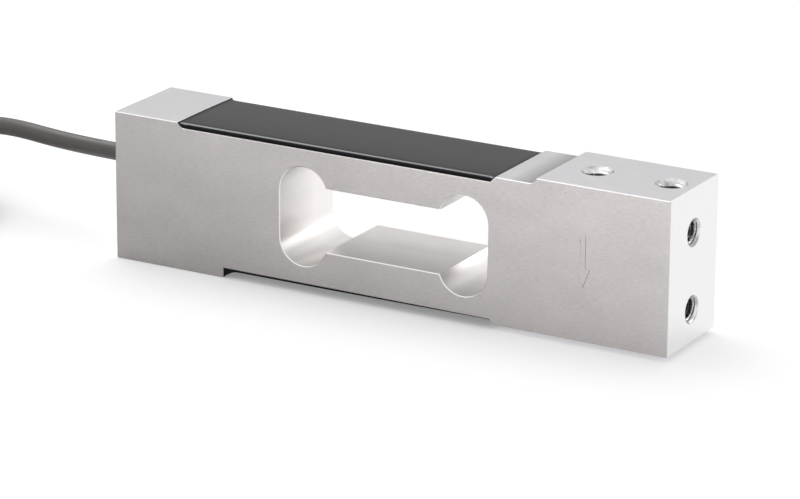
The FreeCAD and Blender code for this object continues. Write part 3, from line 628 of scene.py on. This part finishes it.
class LOADCELL_OT_bar(bpy.types.Operator):
    """Cuts the threads, the arrow and the pits into the bar and gives it its ground finish"""
    bl_idname = "load_cell.bar"
    bl_label = "Bar"

    def execute(self, context):
        settings = context.scene.load_cell_bar
        body = bmesh.new()
        body.from_mesh(CAD["beam_body"].data)
        bmesh.ops.remove_doubles(body, verts=body.verts, dist=WELD_DISTANCE * MM)
        bmesh.ops.dissolve_limit(
            body, angle_limit=math.radians(FLAT_ANGLE), verts=body.verts, edges=body.edges,
            use_dissolve_boundaries=False,
        )
        mesh = bpy.data.meshes.new("bar")
        body.to_mesh(mesh)
        body.free()
        mesh.materials.clear()
        bright, milled = settings.bright_colour[:], settings.top_colour[:]
        bored = settings.window_colour[:]
        # in the order in which finish_of numbers them
        for finish in (
            ground_aluminium(settings.colour[:]),
            # the levels carry a painted light, brighter towards the load end
            milled_aluminium("milled_aluminium", milled, (6.0, 0.3, 0.3), 0.015, TOP_PAINTED_LIGHT),
            milled_aluminium("bright_cut_aluminium", bright, (3.0, 0.4, 0.4), 0.008),
            # the lobes and the slot are painted darker at their near rim, and the lobes at crown and bottom,
            # as shade
            milled_aluminium("bored_aluminium", bored, (1.2, 60.0, 1.2), 0.02, WINDOW_PAINTED_SHADE),
            countersunk_aluminium(bright),
            # the flat by the step is the milled finish again, with painted shade towards the step
            milled_aluminium("step_painted_shade_aluminium", milled, (6.0, 0.3, 0.3), 0.015, STEP_PAINTED_SHADE),
            milled_aluminium("slot_aluminium", bored, (6.0, 0.4, 0.4), 0.015, SLOT_PAINTED_SHADE),
        ):
            mesh.materials.append(finish)
        for polygon in mesh.polygons:
            polygon.material_index = finish_of(mesh, polygon)
        bar = bpy.data.objects.new("bar", mesh)
        context.scene.collection.objects.link(bar)

        # the scribed lines and the pits take a dark colour as painted shade in the groove
        tapped, scribed = tapped_aluminium(bright), groove_shade_aluminium(settings.mark_colour[:])
        cutters = [thread_cutter(*hole, tapped) for hole in tapped_holes()]
        width = settings.line_width / MM
        cutters += [scribed_line(start, end, width * share, scribed) for start, end, share in ARROW_LINES]
        cutters.append(pit_cutters(scribed))
        carve(bar, cutters)
        smooth(bar.data, 20.0)
        # the broad flat faces set the shading at their rims, so that they stay even
        even = bar.modifiers.new("even_faces", "WEIGHTED_NORMAL")
        even.mode, even.weight, even.keep_sharp = "FACE_AREA", 100, True
        settle(bar, "machined_aluminium", "beam_body")
        return {"FINISHED"}


def finish_of(mesh, polygon):
    """Which finish a face of the bar has: 0 ground sides, 1 milled levels and steps, 2 ends and the broken
    edges of the blocks and the window,
    3 the window's lobes, 4 holes, 5 the flat beside the load pad, a copy of 1 with painted shade towards the
    step, 6 the slot."""
    normal, middle = polygon.normal, polygon.center / MM
    reach = max(abs(mesh.vertices[corner].co.y) for corner in polygon.vertices) / MM
    if reach < HOLE_REACH:
        return 4
    in_window = WINDOW_LOW < middle.z < WINDOW_HIGH and abs(middle.x) < WINDOW_REACH
    on_block = normal.z > SLANTED and abs(middle.x) > WINDOW_REACH and abs(normal.x) < ENDWAYS
    if abs(normal.y) > SQUARE or abs(normal.y) > SLANTED and not in_window and not on_block:
        return 0
    if abs(normal.y) > SLANTED or abs(middle.x) > BAR_HIGH.x - END_BREAK:
        return 2
    if in_window:
        return 6 if normal.z > SQUARE and abs(middle.x) < SLOT_REACH else 3
    return 5 if FLAT_START < middle.x < FLAT_END and middle.z > WINDOW_HIGH else 1


def carve(piece, cutters):
    """Takes the cutters out of the piece, whose cut faces get the cutters' materials."""
    tools = bpy.data.collections.new("cutters")
    bpy.context.scene.collection.children.link(tools)
    for cutter in cutters:
        tools.objects.link(cutter)
    cut = piece.modifiers.new("cut", "BOOLEAN")
    cut.operation, cut.solver, cut.operand_type = "DIFFERENCE", "EXACT", "COLLECTION"
    cut.collection, cut.material_mode = tools, "TRANSFER"
    result = bpy.data.meshes.new_from_object(piece.evaluated_get(bpy.context.evaluated_depsgraph_get()))
    before = len(piece.data.polygons)
    piece.modifiers.clear()
    piece.data = result
    for cutter in cutters:
        bpy.data.objects.remove(cutter)
    bpy.data.collections.remove(tools)
    if len(result.polygons) <= before:
        raise RuntimeError(f"{piece.name} was not cut")


# the compound

def spread_out(start, stop, count):
    """Places from start to stop that lie closer together near both ends."""
    return [start + (stop - start) * (1 - math.cos(math.pi * step / count)) / 2 for step in range(count + 1)]


TOP_STATIONS = 48
EDGE_POINTS = 10
ACROSS_POINTS = 12
# the compound's far end sinks a little before it meets the ramp
END_SINK = 0.12
END_RUN = 1.0
# the long edges round over further in the last stretch before that end
CORNER_RUN, CORNER_WIDENING = 1.6, 1.3
# rise of the top between its long edges, and the most that an edge rounds down as a share of its side
CROWN, DEEPEST_DROP = 0.05, 0.8
# run over which the compound climbs the fixed block's step
CLIMB_RUN = 1.1
# width of the dull line along the fixed block's step, and how far a face turns aside before it is dull too
DULL_RIM, DULL_TURN = 0.45, 0.55
# the compound is nowhere thinner than this
THINNEST = 0.02


class LOADCELL_OT_top_compound(bpy.types.Operator):
    """Pours the glossy compound over the upper gauges"""
    bl_idname = "load_cell.top_compound"
    bl_label = "Top compound"

    def execute(self, context):
        settings = context.scene.load_cell_compound
        edge_run, edge_drop = settings.edge_run / MM, settings.edge_drop / MM
        low, high = millimetres("top_potting")
        body = CAD["top_potting"].data
        floor = recess_floor(body)
        rings = []
        for place in spread_out(low.x, high.x, TOP_STATIONS):
            from_fixed, from_load = place - low.x, high.x - place
            climb = settings.climb / MM * max(0.0, 1 - from_fixed / CLIMB_RUN) ** 2
            sink = END_SINK * max(0.0, 1 - from_load / END_RUN) ** 2
            top = high.z + climb - sink
            bottom = max(floor, recess_height(from_fixed, floor), ramp_height(from_load, floor))
            wider = 1 + CORNER_WIDENING * max(0.0, 1 - from_load / CORNER_RUN) ** 2
            rings.append([Vector((place, y, z)) for y, z in compound_section(
                low.y, high.y, min(bottom, top - THINNEST), top, edge_run * wider, edge_drop * wider
            )])
        compound = mesh_object("top_compound", *loft(rings), poured_resin(settings.colour[:]))
        outward(compound)
        compound.data.materials.append(dull_resin(settings.colour[:]))
        for polygon in compound.data.polygons:
            beside_step = polygon.center.x / MM < low.x + DULL_RIM
            polygon.material_index = int(beside_step or abs(polygon.normal.y) > DULL_TURN)
        smooth(compound.data, 50.0)
        settle(compound, "potting_compound", "top_potting")
        return {"FINISHED"}


def recess_floor(body):
    """The level of the top recess's floor: the lowest ring of the compound's long side."""
    reach = max(vertex.co.y for vertex in body.vertices)
    return min(vertex.co.z for vertex in body.vertices if reach - vertex.co.y < 0.01 * MM) / MM


# the recess's ends: a corner left by the cutter at the fixed block, and a short ramp at the load end
CUTTER_RADIUS = 2.0
RAMP_RUN, RAMP_RISE, RAMP_FOOT = 1.35, 1.4, 0.2


def recess_height(from_fixed, floor):
    """Height of the rounded step at the recess's fixed end."""
    reach = math.sqrt(CUTTER_RADIUS ** 2 - (CUTTER_RADIUS - RAMP_RISE) ** 2)
    away = max(0.0, reach - from_fixed)
    return floor + CUTTER_RADIUS - math.sqrt(max(0.0, CUTTER_RADIUS ** 2 - away ** 2))


def ramp_height(from_load, floor):
    """Height of the ramp at the recess's load end, measured back from the compound's end."""
    rise = RAMP_RISE - RAMP_FOOT
    return floor + rise * max(0.0, 1 - from_load / (RAMP_RUN * rise / RAMP_RISE))


def compound_section(near, far, bottom, top, edge_run, edge_drop):
    """Across the bar: up the near side, over its rounded edge, along the top and down the far side."""
    drop = min(edge_drop, (top - bottom) * DEEPEST_DROP)
    points = [(near, bottom)]
    for step in range(EDGE_POINTS + 1):
        angle = math.pi / 2 * step / EDGE_POINTS
        points.append((near + edge_run * (1 - math.cos(angle)), top - drop * (1 - math.sin(angle))))
    width = far - near - 2 * edge_run
    for step in range(1, ACROSS_POINTS):
        share = step / ACROSS_POINTS
        points.append((near + edge_run + width * share, top + CROWN * math.sin(math.pi * share)))
    for step in range(EDGE_POINTS + 1):
        angle = math.pi / 2 * (1 - step / EDGE_POINTS)
        points.append((far - edge_run * (1 - math.cos(angle)), top - drop * (1 - math.sin(angle))))
    points.append((far, bottom))
    return points


# the lower compound: its thickness near the fixed step and the share lost by the load end, the part of the
# bar's ramp that it follows, and the round hollow in which it creeps down the fixed step
LOWER_THICKNESS, THINNING, RAMP_SHARE = 0.5, 0.8, 0.3
BOTTOM_FACE = 1.25
CREEP_DROP = 1.85
CREEP_RUN = 4.4
CREEP_RADIUS = (CREEP_RUN ** 2 + CREEP_DROP ** 2) / (2 * CREEP_DROP)
LOWER_STATIONS = 60
# share of a face's normal across the bar from which it counts as the compound's side
SIDEWAYS = 0.9


class LOADCELL_OT_bottom_compound(bpy.types.Operator):
    """Pours the thin compound under the bar, which creeps down the fixed pad's step"""
    bl_idname = "load_cell.bottom_compound"
    bl_label = "Bottom compound"

    def execute(self, context):
        low, high = millimetres("bottom_potting")
        rings = []
        for place in spread_out(low.x, high.x, LOWER_STATIONS):
            along = (place - low.x) / (high.x - low.x)
            thickness = LOWER_THICKNESS * (1 - THINNING * along ** 2)
            short = max(0.0, CREEP_RUN - (place - low.x))
            creep = CREEP_RADIUS - math.sqrt(CREEP_RADIUS ** 2 - short ** 2)
            under = high.z - thickness - creep
            on_ramp = max(0.0, 1 - (high.x - place) / RAMP_RUN)
            ceiling = high.z - on_ramp * (high.z - BOTTOM_FACE) * RAMP_SHARE
            under = min(under, ceiling - THINNEST)
            rings.append([
                Vector((place, low.y, under)), Vector((place, high.y, under)),
                Vector((place, high.y, ceiling)), Vector((place, low.y, ceiling)),
            ])
        colour = context.scene.load_cell_compound.colour[:]
        compound = mesh_object("bottom_compound", *loft(rings), poured_resin(colour))
        outward(compound)
        compound.data.materials.append(dull_resin(colour))
        for polygon in compound.data.polygons:
            polygon.material_index = int(abs(polygon.normal.y) > SIDEWAYS)
        smooth(compound.data, 40.0)
        settle(compound, "potting_compound", "bottom_potting")
        return {"FINISHED"}


# the cable

# the cable from the bar's end face, in metres: straight out, gently aside, then down onto the coil
LEAD = (
    (-0.075, 0.0, 0.0226), (-0.086, 0.0, 0.0226), (-0.101, 0.0012, 0.0226), (-0.116, 0.0037, 0.0229),
    (-0.127, 0.0064, 0.0213), (-0.135, 0.0089, 0.0171), (-0.1419, 0.0101, 0.0132),
)
# the cable's end, in metres: off the coil's lowest turn and beside it
TAIL = ((-0.1432, -0.0351, 0.0028), (-0.137, -0.0364, 0.0028), (-0.13, -0.03635, 0.00275))
CORES = {"red": "#a3231f", "black": "#1c1c1e", "green": "#1f7a3c", "white": "#dcdcd8"}
COIL_CENTRE = Vector((-0.1419, -0.01195, 0.0))
COIL_RADIUS = 0.022
COIL_SPACING = 0.0045
COIL_TURN_POINTS = 16
# the winding in steps of a point each, and the turns at which it sinks from one level to the next
COIL_STEPS = range(1, 40)
SINKS, SINK_RUN = (0.5, 1.5), 0.2
# the stripped ends: where each leaves its core, and which way it points
TIPS = (
    ((-101.0, -33.35, 0.55), (9.0, 1.0, 0.0)),
    ((-101.0, -37.75, 0.55), (9.0, -0.2, 0.0)),
    ((-103.0, -30.05, 0.55), (12.0, 3.0, 0.0)),
    ((-103.0, -39.55, 0.55), (12.0, -0.8, 0.0)),
)
# places along a stripped end with its radius: the tin ends in a drop
TIP_PROFILE = ((0.0, 0.3), (0.5, 0.31), (2.8, 0.3), (3.3, 0.33), (3.75, 0.34), (4.1, 0.28), (4.3, 0.14))
TIP_COLUMNS = 16
# the tie: its place round the coil in degrees, its strap, the slack inside it, and its bevels
TIE_TURN = 200.0
TIE_THICKNESS = 0.6
TIE_WIDTH = 3.6
TIE_SLACK = 0.02
TIE_OUTER_SHARE = 0.9
TIE_ARC_POINTS = 12
# the tie's lock on top of the coil: half its length along the tie, half its width, its height, and its round
LOCK_HALF_LENGTH, LOCK_HALF_WIDTH, LOCK_HEIGHT, LOCK_ROUND = 2.3, 2.2, 1.9, 0.35
# the strap's end, cut off where it leaves the lock
STUB_LENGTH, STUB_HALF_WIDTH, STUB_ROUND = 1.1, 1.6, 0.1


def eased(share):
    """The share from 0 to 1 with a soft start and end."""
    share = min(1.0, max(0.0, share))
    return share * share * (3 - 2 * share)


def coil_route(rest_height):
    """The coil's control points. They stand a little outside the winding, which a smooth line cuts inside."""
    reach = COIL_RADIUS / math.cos(math.pi / COIL_TURN_POINTS)
    points = []
    for step in COIL_STEPS:
        turns = step / COIL_TURN_POINTS
        angle = 2 * math.pi * (turns + 0.25)
        lift = COIL_SPACING * sum(1 - eased((turns - sink) / SINK_RUN) for sink in SINKS)
        points.append(COIL_CENTRE + Vector((
            math.cos(angle) * reach, math.sin(angle) * reach, rest_height + lift,
        )))
    return points


class LOADCELL_OT_cable(bpy.types.Operator):
    """Lays the cable from the bar to its put-away coil; its seal, tie and end are made by their own operators
    """
    bl_idname = "load_cell.cable"
    bl_label = "Cable"

    def execute(self, context):
        settings = context.scene.load_cell_cable
        curve = bpy.data.curves.new("cable", "CURVE")
        curve.dimensions = "3D"
        curve.bevel_depth = settings.diameter / 2
        curve.bevel_resolution = 6
        curve.resolution_u = 8
        curve.use_fill_caps = True
        rest_height = settings.diameter / 2 + TIE_THICKNESS * MM
        lead, tail = ([Vector(point) for point in points] for points in (LEAD, TAIL))
        route = lead + coil_route(rest_height) + tail
        spline = curve.splines.new("NURBS")
        spline.points.add(len(route) - 1)
        for point, place in zip(spline.points, route):
            point.co = (*place, 1.0)
        spline.order_u = 3
        spline.use_endpoint_u = True
        curve.materials.append(extruded_pvc("extruded_jacket", settings.colour[:], 0.5))
        cable = bpy.data.objects.new("cable", curve)
        context.scene.collection.objects.link(cable)
        settle(cable, "cable_jacket", "cable_lead", "cable_coil", "cable_tail")
        on_cable = ["seal", "tie", "end_sleeve", "tinned_tips", "drain_wire"]
        on_cable += [f"core_{name}" for name in CORES]
        return {"FINISHED"}


class LOADCELL_OT_cable_end(bpy.types.Operator):
    """Finishes the sleeve, the cores, their tinned ends and the shield's drain wire"""
    bl_idname = "load_cell.cable_end"
    bl_label = "Cable end"

    def execute(self, context):
        paint("end_sleeve", shrunk_polyolefin(linear("#1b1b1c")))
        tin = tinned_copper()
        tips = mesh_object("tinned_tips", *joined(*(tinned_tip(*tip) for tip in TIPS)), tin)
        outward(tips)
        smooth(tips.data, 40.0)
        settle(tips, "tinned_copper", "tinned_ends")
        paint("drain_wire", tin)
        round_nodes = ["end_sleeve", "drain_wire"]
        for name, code in CORES.items():
            insulation = extruded_pvc(f"{name}_insulation", linear(code), 0.36, grain=0.3)
            for node in (f"core_{name}", f"inner_core_{name}"):
                paint(node, insulation)
                round_nodes.append(node)
        for node in round_nodes:
            smooth(CAD[node].data, 40.0)
        return {"FINISHED"}


def tinned_tip(start, direction):
    """The skin of one stripped end."""
    turn = Vector(direction).to_track_quat("X", "Z").to_matrix()
    around = [2 * math.pi * column / TIP_COLUMNS for column in range(TIP_COLUMNS)]
    return loft([
        [Vector(start) + turn @ Vector((along, math.cos(angle) * radius, math.sin(angle) * radius))
         for angle in around]
        for along, radius in TIP_PROFILE
    ])


class LOADCELL_OT_tie(bpy.types.Operator):
    """Straps the coil's three turns with a moulded tie"""
    bl_idname = "load_cell.tie"
    bl_label = "Tie"

    def execute(self, context):
        settings = context.scene.load_cell_cable
        cable_radius = settings.diameter / MM / 2
        radius = COIL_RADIUS / MM
        low, high = cable_radius + TIE_THICKNESS, cable_radius + TIE_THICKNESS + 2 * COIL_SPACING / MM
        half = Vector((0, TIE_WIDTH / 2, 0))
        rings = []
        # half a circle under the lowest strand, then half a circle over the highest
        for start, level in ((math.pi, low), (0.0, high)):
            for step in range(TIE_ARC_POINTS + 1):
                angle = start + math.pi * step / TIE_ARC_POINTS
                direction = Vector((math.cos(angle), 0, math.sin(angle)))
                inner = Vector((radius, 0, level)) + direction * (cable_radius + TIE_SLACK)
                outer = Vector((radius, 0, level)) + direction * (cable_radius + TIE_THICKNESS)
                rim = half * TIE_OUTER_SHARE
                rings.append([inner - half, outer - rim, outer + rim, inner + half])
        top = high + cable_radius
        lock = block(radius, LOCK_HALF_LENGTH, LOCK_HALF_WIDTH, top, top + LOCK_HEIGHT, LOCK_ROUND)
        stub = block(
            radius + LOCK_HALF_LENGTH + STUB_LENGTH / 2, STUB_LENGTH / 2, STUB_HALF_WIDTH,
            top + LOCK_ROUND, top + LOCK_ROUND + TIE_THICKNESS, STUB_ROUND,
        )
        turn = math.radians(TIE_TURN)
        place = Matrix.Translation(COIL_CENTRE / MM) @ Matrix.Rotation(turn, 4, "Z")
        nylon = moulded_nylon(settings.tie_colour[:])
        tie = mesh_object("tie", *joined(loft(rings, closed=True), lock, stub), nylon, place)
        outward(tie)
        smooth(tie.data, 35.0)
        settle(tie, "tie_nylon", "cable_tie")
        return {"FINISHED"}


def block(middle, half_length, half_width, low, high, bevel):
    """A bevelled block across the tie, as vertices and faces."""
    rings = []
    for level, inset in ((low, bevel), (low + bevel, 0.0), (high - bevel, 0.0), (high, bevel)):
        reach, side = half_length - inset, half_width - inset
        rings.append([
            Vector((middle + across * reach, along * side, level))
            for across, along in ((-1, -1), (1, -1), (1, 1), (-1, 1))
        ])
    return loft(rings)


SEAL_COLUMNS, SEAL_STEPS = 48, 8
# thickness of the seal's feathered edge on the jacket
SEAL_EDGE = 0.08


class LOADCELL_OT_seal(bpy.types.Operator):
    """Smooths the sealing compound round the cable where it enters the bar"""
    bl_idname = "load_cell.seal"
    bl_label = "Seal"

    def execute(self, context):
        low, high = millimetres("cable_seal")
        cable_radius = context.scene.load_cell_cable.diameter / MM / 2
        seat = (high.z - low.z) / 2
        centre = (high.z + low.z) / 2
        face = BAR_LOW.x
        # a hollow curve from the seat's rim to the jacket, then back along it into the seat
        profile = [(high.x, cable_radius), (high.x, seat), (face, seat)]
        for step in range(1, SEAL_STEPS + 1):
            share = step / SEAL_STEPS
            radius = seat + (cable_radius + SEAL_EDGE - seat) * math.sin(math.pi / 2 * share)
            profile.append((face + (low.x - face) * (1 - math.cos(math.pi / 2 * share)), radius))
        profile.append((low.x, cable_radius))
        rings = []
        for column in range(SEAL_COLUMNS):
            angle = 2 * math.pi * column / SEAL_COLUMNS
            around = Vector((0, math.cos(angle), math.sin(angle)))
            rings.append([Vector((along, 0, centre)) + around * radius for along, radius in profile])
        seal = mesh_object("seal", *loft(rings, closed=True), cured_sealant(linear("#1e1e1f")))
        outward(seal)
        smooth(seal.data, 40.0)
        settle(seal, "sealing_compound", "cable_seal")
        return {"FINISHED"}


class LOADCELL_OT_inside(bpy.types.Operator):
    """Finishes what the compound covers: gauges, terminals, board, resistors and leads"""
    bl_idname = "load_cell.inside"
    bl_label = "Inside"

    def execute(self, context):
        film = foil_on_polyimide()
        copper = rolled_copper("etched_copper", "#c08a63", 0.35)
        for face in ("top", "bottom"):
            for end in ("fixed", "load"):
                paint(f"gauge_{face}_{end}", film)
                paint(f"terminal_{face}_{end}", copper)
        paint("terminal_board", glass_laminate())
        ceramic = glazed_ceramic()
        for name in ("zero", "span", "temperature"):
            paint(f"{name}_resistor", ceramic)
        leads = rolled_copper("rolled_copper", "#b98262", 0.3)
        for side in ("upper", "lower"):
            paint(f"{side}_bridge_wires", leads)
        colour = context.scene.load_cell_cable.colour[:]
        paint("cable_inner_length", extruded_pvc("inner_jacket", colour, 0.5))
        return {"FINISHED"}


# the studio

CAMERA_PLACE = (0.45872, -0.80827, 0.31744)
SENSOR_WIDTH = 36.0
FLOOR_HALF = 4.0
# the floor lies a hair below the pad, so that the two faces don't flicker
FLOOR_DROP = 0.00003
# light that the world gives matt surfaces; everything that mirrors it sees plain white
WORLD_DIFFUSE = 0.72
# glow of the floor as the eye and the metal see it, which lifts its lit part to white
FLOOR_GLOW = 0.23
# the card that the level faces mirror, a metre away: its direction, size in metres and radiance
CARD_DIRECTION = (-0.47, 0.825, 0.3)
CARD_SIZE = (1.2, 0.62)
CARD_RADIANCE = 0.54
# lamps: direction from the model's origin, distance and size in metres, radiance, and whether matt surfaces
# see it. The strip draws the light line along the compound's near edge, and the one behind whitens the end
# face, so both are for the gloss alone and leave the floor's shadow as it is.
LAMPS = {
    "overhead": ((-0.36, 0.2, 0.91), 0.9, (0.6, 0.62), 1.7, True),
    "strip": ((-0.38, 0.3, 0.875), 0.88, (0.6, 0.46), 5.0, False),
    "behind_right": ((0.75, 0.62, 0.16), 0.8, (0.5, 0.5), 1.4, False),
}


class LOADCELL_OT_camera(bpy.types.Operator):
    """Stands the camera at the photograph's viewpoint"""
    bl_idname = "load_cell.camera"
    bl_label = "Camera"

    def execute(self, context):
        settings = context.scene.load_cell_stage
        data = bpy.data.cameras.new("camera")
        data.sensor_width = SENSOR_WIDTH
        data.lens = settings.lens
        camera = bpy.data.objects.new("camera", data)
        context.scene.collection.objects.link(camera)
        turn = Matrix.Rotation(settings.azimuth, 4, "Z")
        tilt = Matrix.Rotation(math.pi / 2 - settings.elevation, 4, "X")
        lean = Matrix.Rotation(settings.roll, 4, "Z")
        camera.matrix_world = Matrix.Translation(CAMERA_PLACE) @ turn @ tilt @ lean
        context.scene.camera = camera
        return {"FINISHED"}


def facing_bar(direction, distance):
    """The place of a thing that stands off the model's origin in a direction and faces it, with its first
    side along the bar."""
    aim = Vector(direction).normalized()
    side = (Vector((1, 0, 0)) - aim * aim.x).normalized()
    turn = Matrix((side, aim.cross(side), aim)).transposed().to_4x4()
    return Matrix.Translation(aim * distance) @ turn


def softbox(name, direction, distance, size, radiance, lights_matt):
    """A rectangular lamp that faces the model's origin. Its brightness is a radiance, of which 1 is white."""
    data = bpy.data.lights.new(name, "AREA")
    data.shape = "RECTANGLE"
    data.size, data.size_y = size
    data.energy = radiance * math.pi * size[0] * size[1]
    lamp = bpy.data.objects.new(name, data)
    bpy.context.scene.collection.objects.link(lamp)
    lamp.matrix_world = facing_bar(direction, distance)
    lamp.visible_camera = False
    lamp.visible_diffuse = lights_matt


def studio_white(tree):
    """One where the eye looks or a surface mirrors or lets light through, and zero for scattered light."""
    path = add_node(tree, "ShaderNodeLightPath").outputs
    seen = add_node(tree, "ShaderNodeMath", {
        0: path["Is Camera Ray"], 1: path["Is Glossy Ray"],
    }, operation="MAXIMUM")
    return add_node(tree, "ShaderNodeMath", {
        0: seen.outputs[0], 1: path["Is Transmission Ray"],
    }, operation="MAXIMUM").outputs[0]


class LOADCELL_OT_stage(bpy.types.Operator):
    """Sets the matt floor, the soft lamps and the white surroundings"""
    bl_idname = "load_cell.stage"
    bl_label = "Stage"

    def execute(self, context):
        scene = context.scene
        colour = scene.load_cell_stage.floor_colour[:]
        material, tree, shader = new_material("matt_paper", colour, 0.9, Specular_IOR_Level=0.0)
        glow = add_node(tree, "ShaderNodeMath", {
            0: studio_white(tree), 1: FLOOR_GLOW,
        }, operation="MULTIPLY")
        tree.links.new(glow.outputs[0], shader.inputs["Emission Strength"])
        shader.inputs["Emission Color"].default_value = (1.0, 1.0, 1.0, 1.0)
        reach = FLOOR_HALF / MM
        sheet("floor", reach, reach, -FLOOR_DROP / MM, material)

        for name, lamp in LAMPS.items():
            softbox(name, *lamp)
        self.grey_card()

        world = bpy.data.worlds.new("studio")
        scene.world = world
        world.use_nodes = True
        tree = world.node_tree
        strength = add_node(tree, "ShaderNodeMapRange", {
            "Value": studio_white(tree), "To Min": WORLD_DIFFUSE, "To Max": 1.0,
        })
        background = tree.nodes["Background"]
        background.inputs["Color"].default_value = (1.0, 1.0, 1.0, 1.0)
        tree.links.new(strength.outputs["Result"], background.inputs["Strength"])
        scene.view_settings.view_transform = "Standard"
        return {"FINISHED"}

    def grey_card(self):
        """A card behind the bar that its level faces mirror, so that they stay below white."""
        material = bpy.data.materials.new("grey_card")
        material.use_nodes = True
        tree = material.node_tree
        tree.nodes.clear()
        glow = add_node(tree, "ShaderNodeEmission", {"Strength": CARD_RADIANCE})
        add_node(tree, "ShaderNodeOutputMaterial", {"Surface": glow.outputs["Emission"]})
        half_width, half_height = (length / 2 / MM for length in CARD_SIZE)
        place = facing_bar(CARD_DIRECTION, 1 / MM)
        card = sheet("grey_card", half_width, half_height, 0, material, place)
        card.visible_camera = card.visible_diffuse = card.visible_shadow = False


class LOADCELL_PT_looks(bpy.types.Panel):
    """Lists the load cell's settings and operators"""
    bl_idname = "LOADCELL_PT_looks"
    bl_label = "Load Cell"
    bl_space_type = "VIEW_3D"
    bl_region_type = "UI"
    bl_category = "Load Cell"

    def draw(self, context):
        for name in SETTINGS:
            box = self.layout.box()
            group = getattr(context.scene, name)
            for setting in group.bl_rna.properties.keys():
                if setting not in ("rna_type", "name"):
                    box.prop(group, setting)
        for operator in OPERATORS:
            self.layout.operator(operator.bl_idname)


SETTINGS = {
    "load_cell_bar": BarSettings,
    "load_cell_compound": CompoundSettings,
    "load_cell_cable": CableSettings,
    "load_cell_stage": StageSettings,
}
OPERATORS = (
    LOADCELL_OT_camera, LOADCELL_OT_seal, LOADCELL_OT_tie, LOADCELL_OT_cable_end, LOADCELL_OT_cable,
    LOADCELL_OT_bar, LOADCELL_OT_top_compound, LOADCELL_OT_bottom_compound, LOADCELL_OT_inside,
    LOADCELL_OT_stage,
)


def register():
    for name, group in SETTINGS.items():
        bpy.utils.register_class(group)
        setattr(bpy.types.Scene, name, bpy.props.PointerProperty(type=group))
    for item in (*OPERATORS, LOADCELL_PT_looks):
        bpy.utils.register_class(item)


def unregister():
    for item in reversed((*OPERATORS, LOADCELL_PT_looks)):
        bpy.utils.unregister_class(item)
    for name, group in reversed(SETTINGS.items()):
        delattr(bpy.types.Scene, name)
        bpy.utils.unregister_class(group)


def main():
    register()
    for operator in OPERATORS:
        group, name = operator.bl_idname.split(".")
        getattr(getattr(bpy.ops, group), name)()


if __name__ == "__main__":
    main()
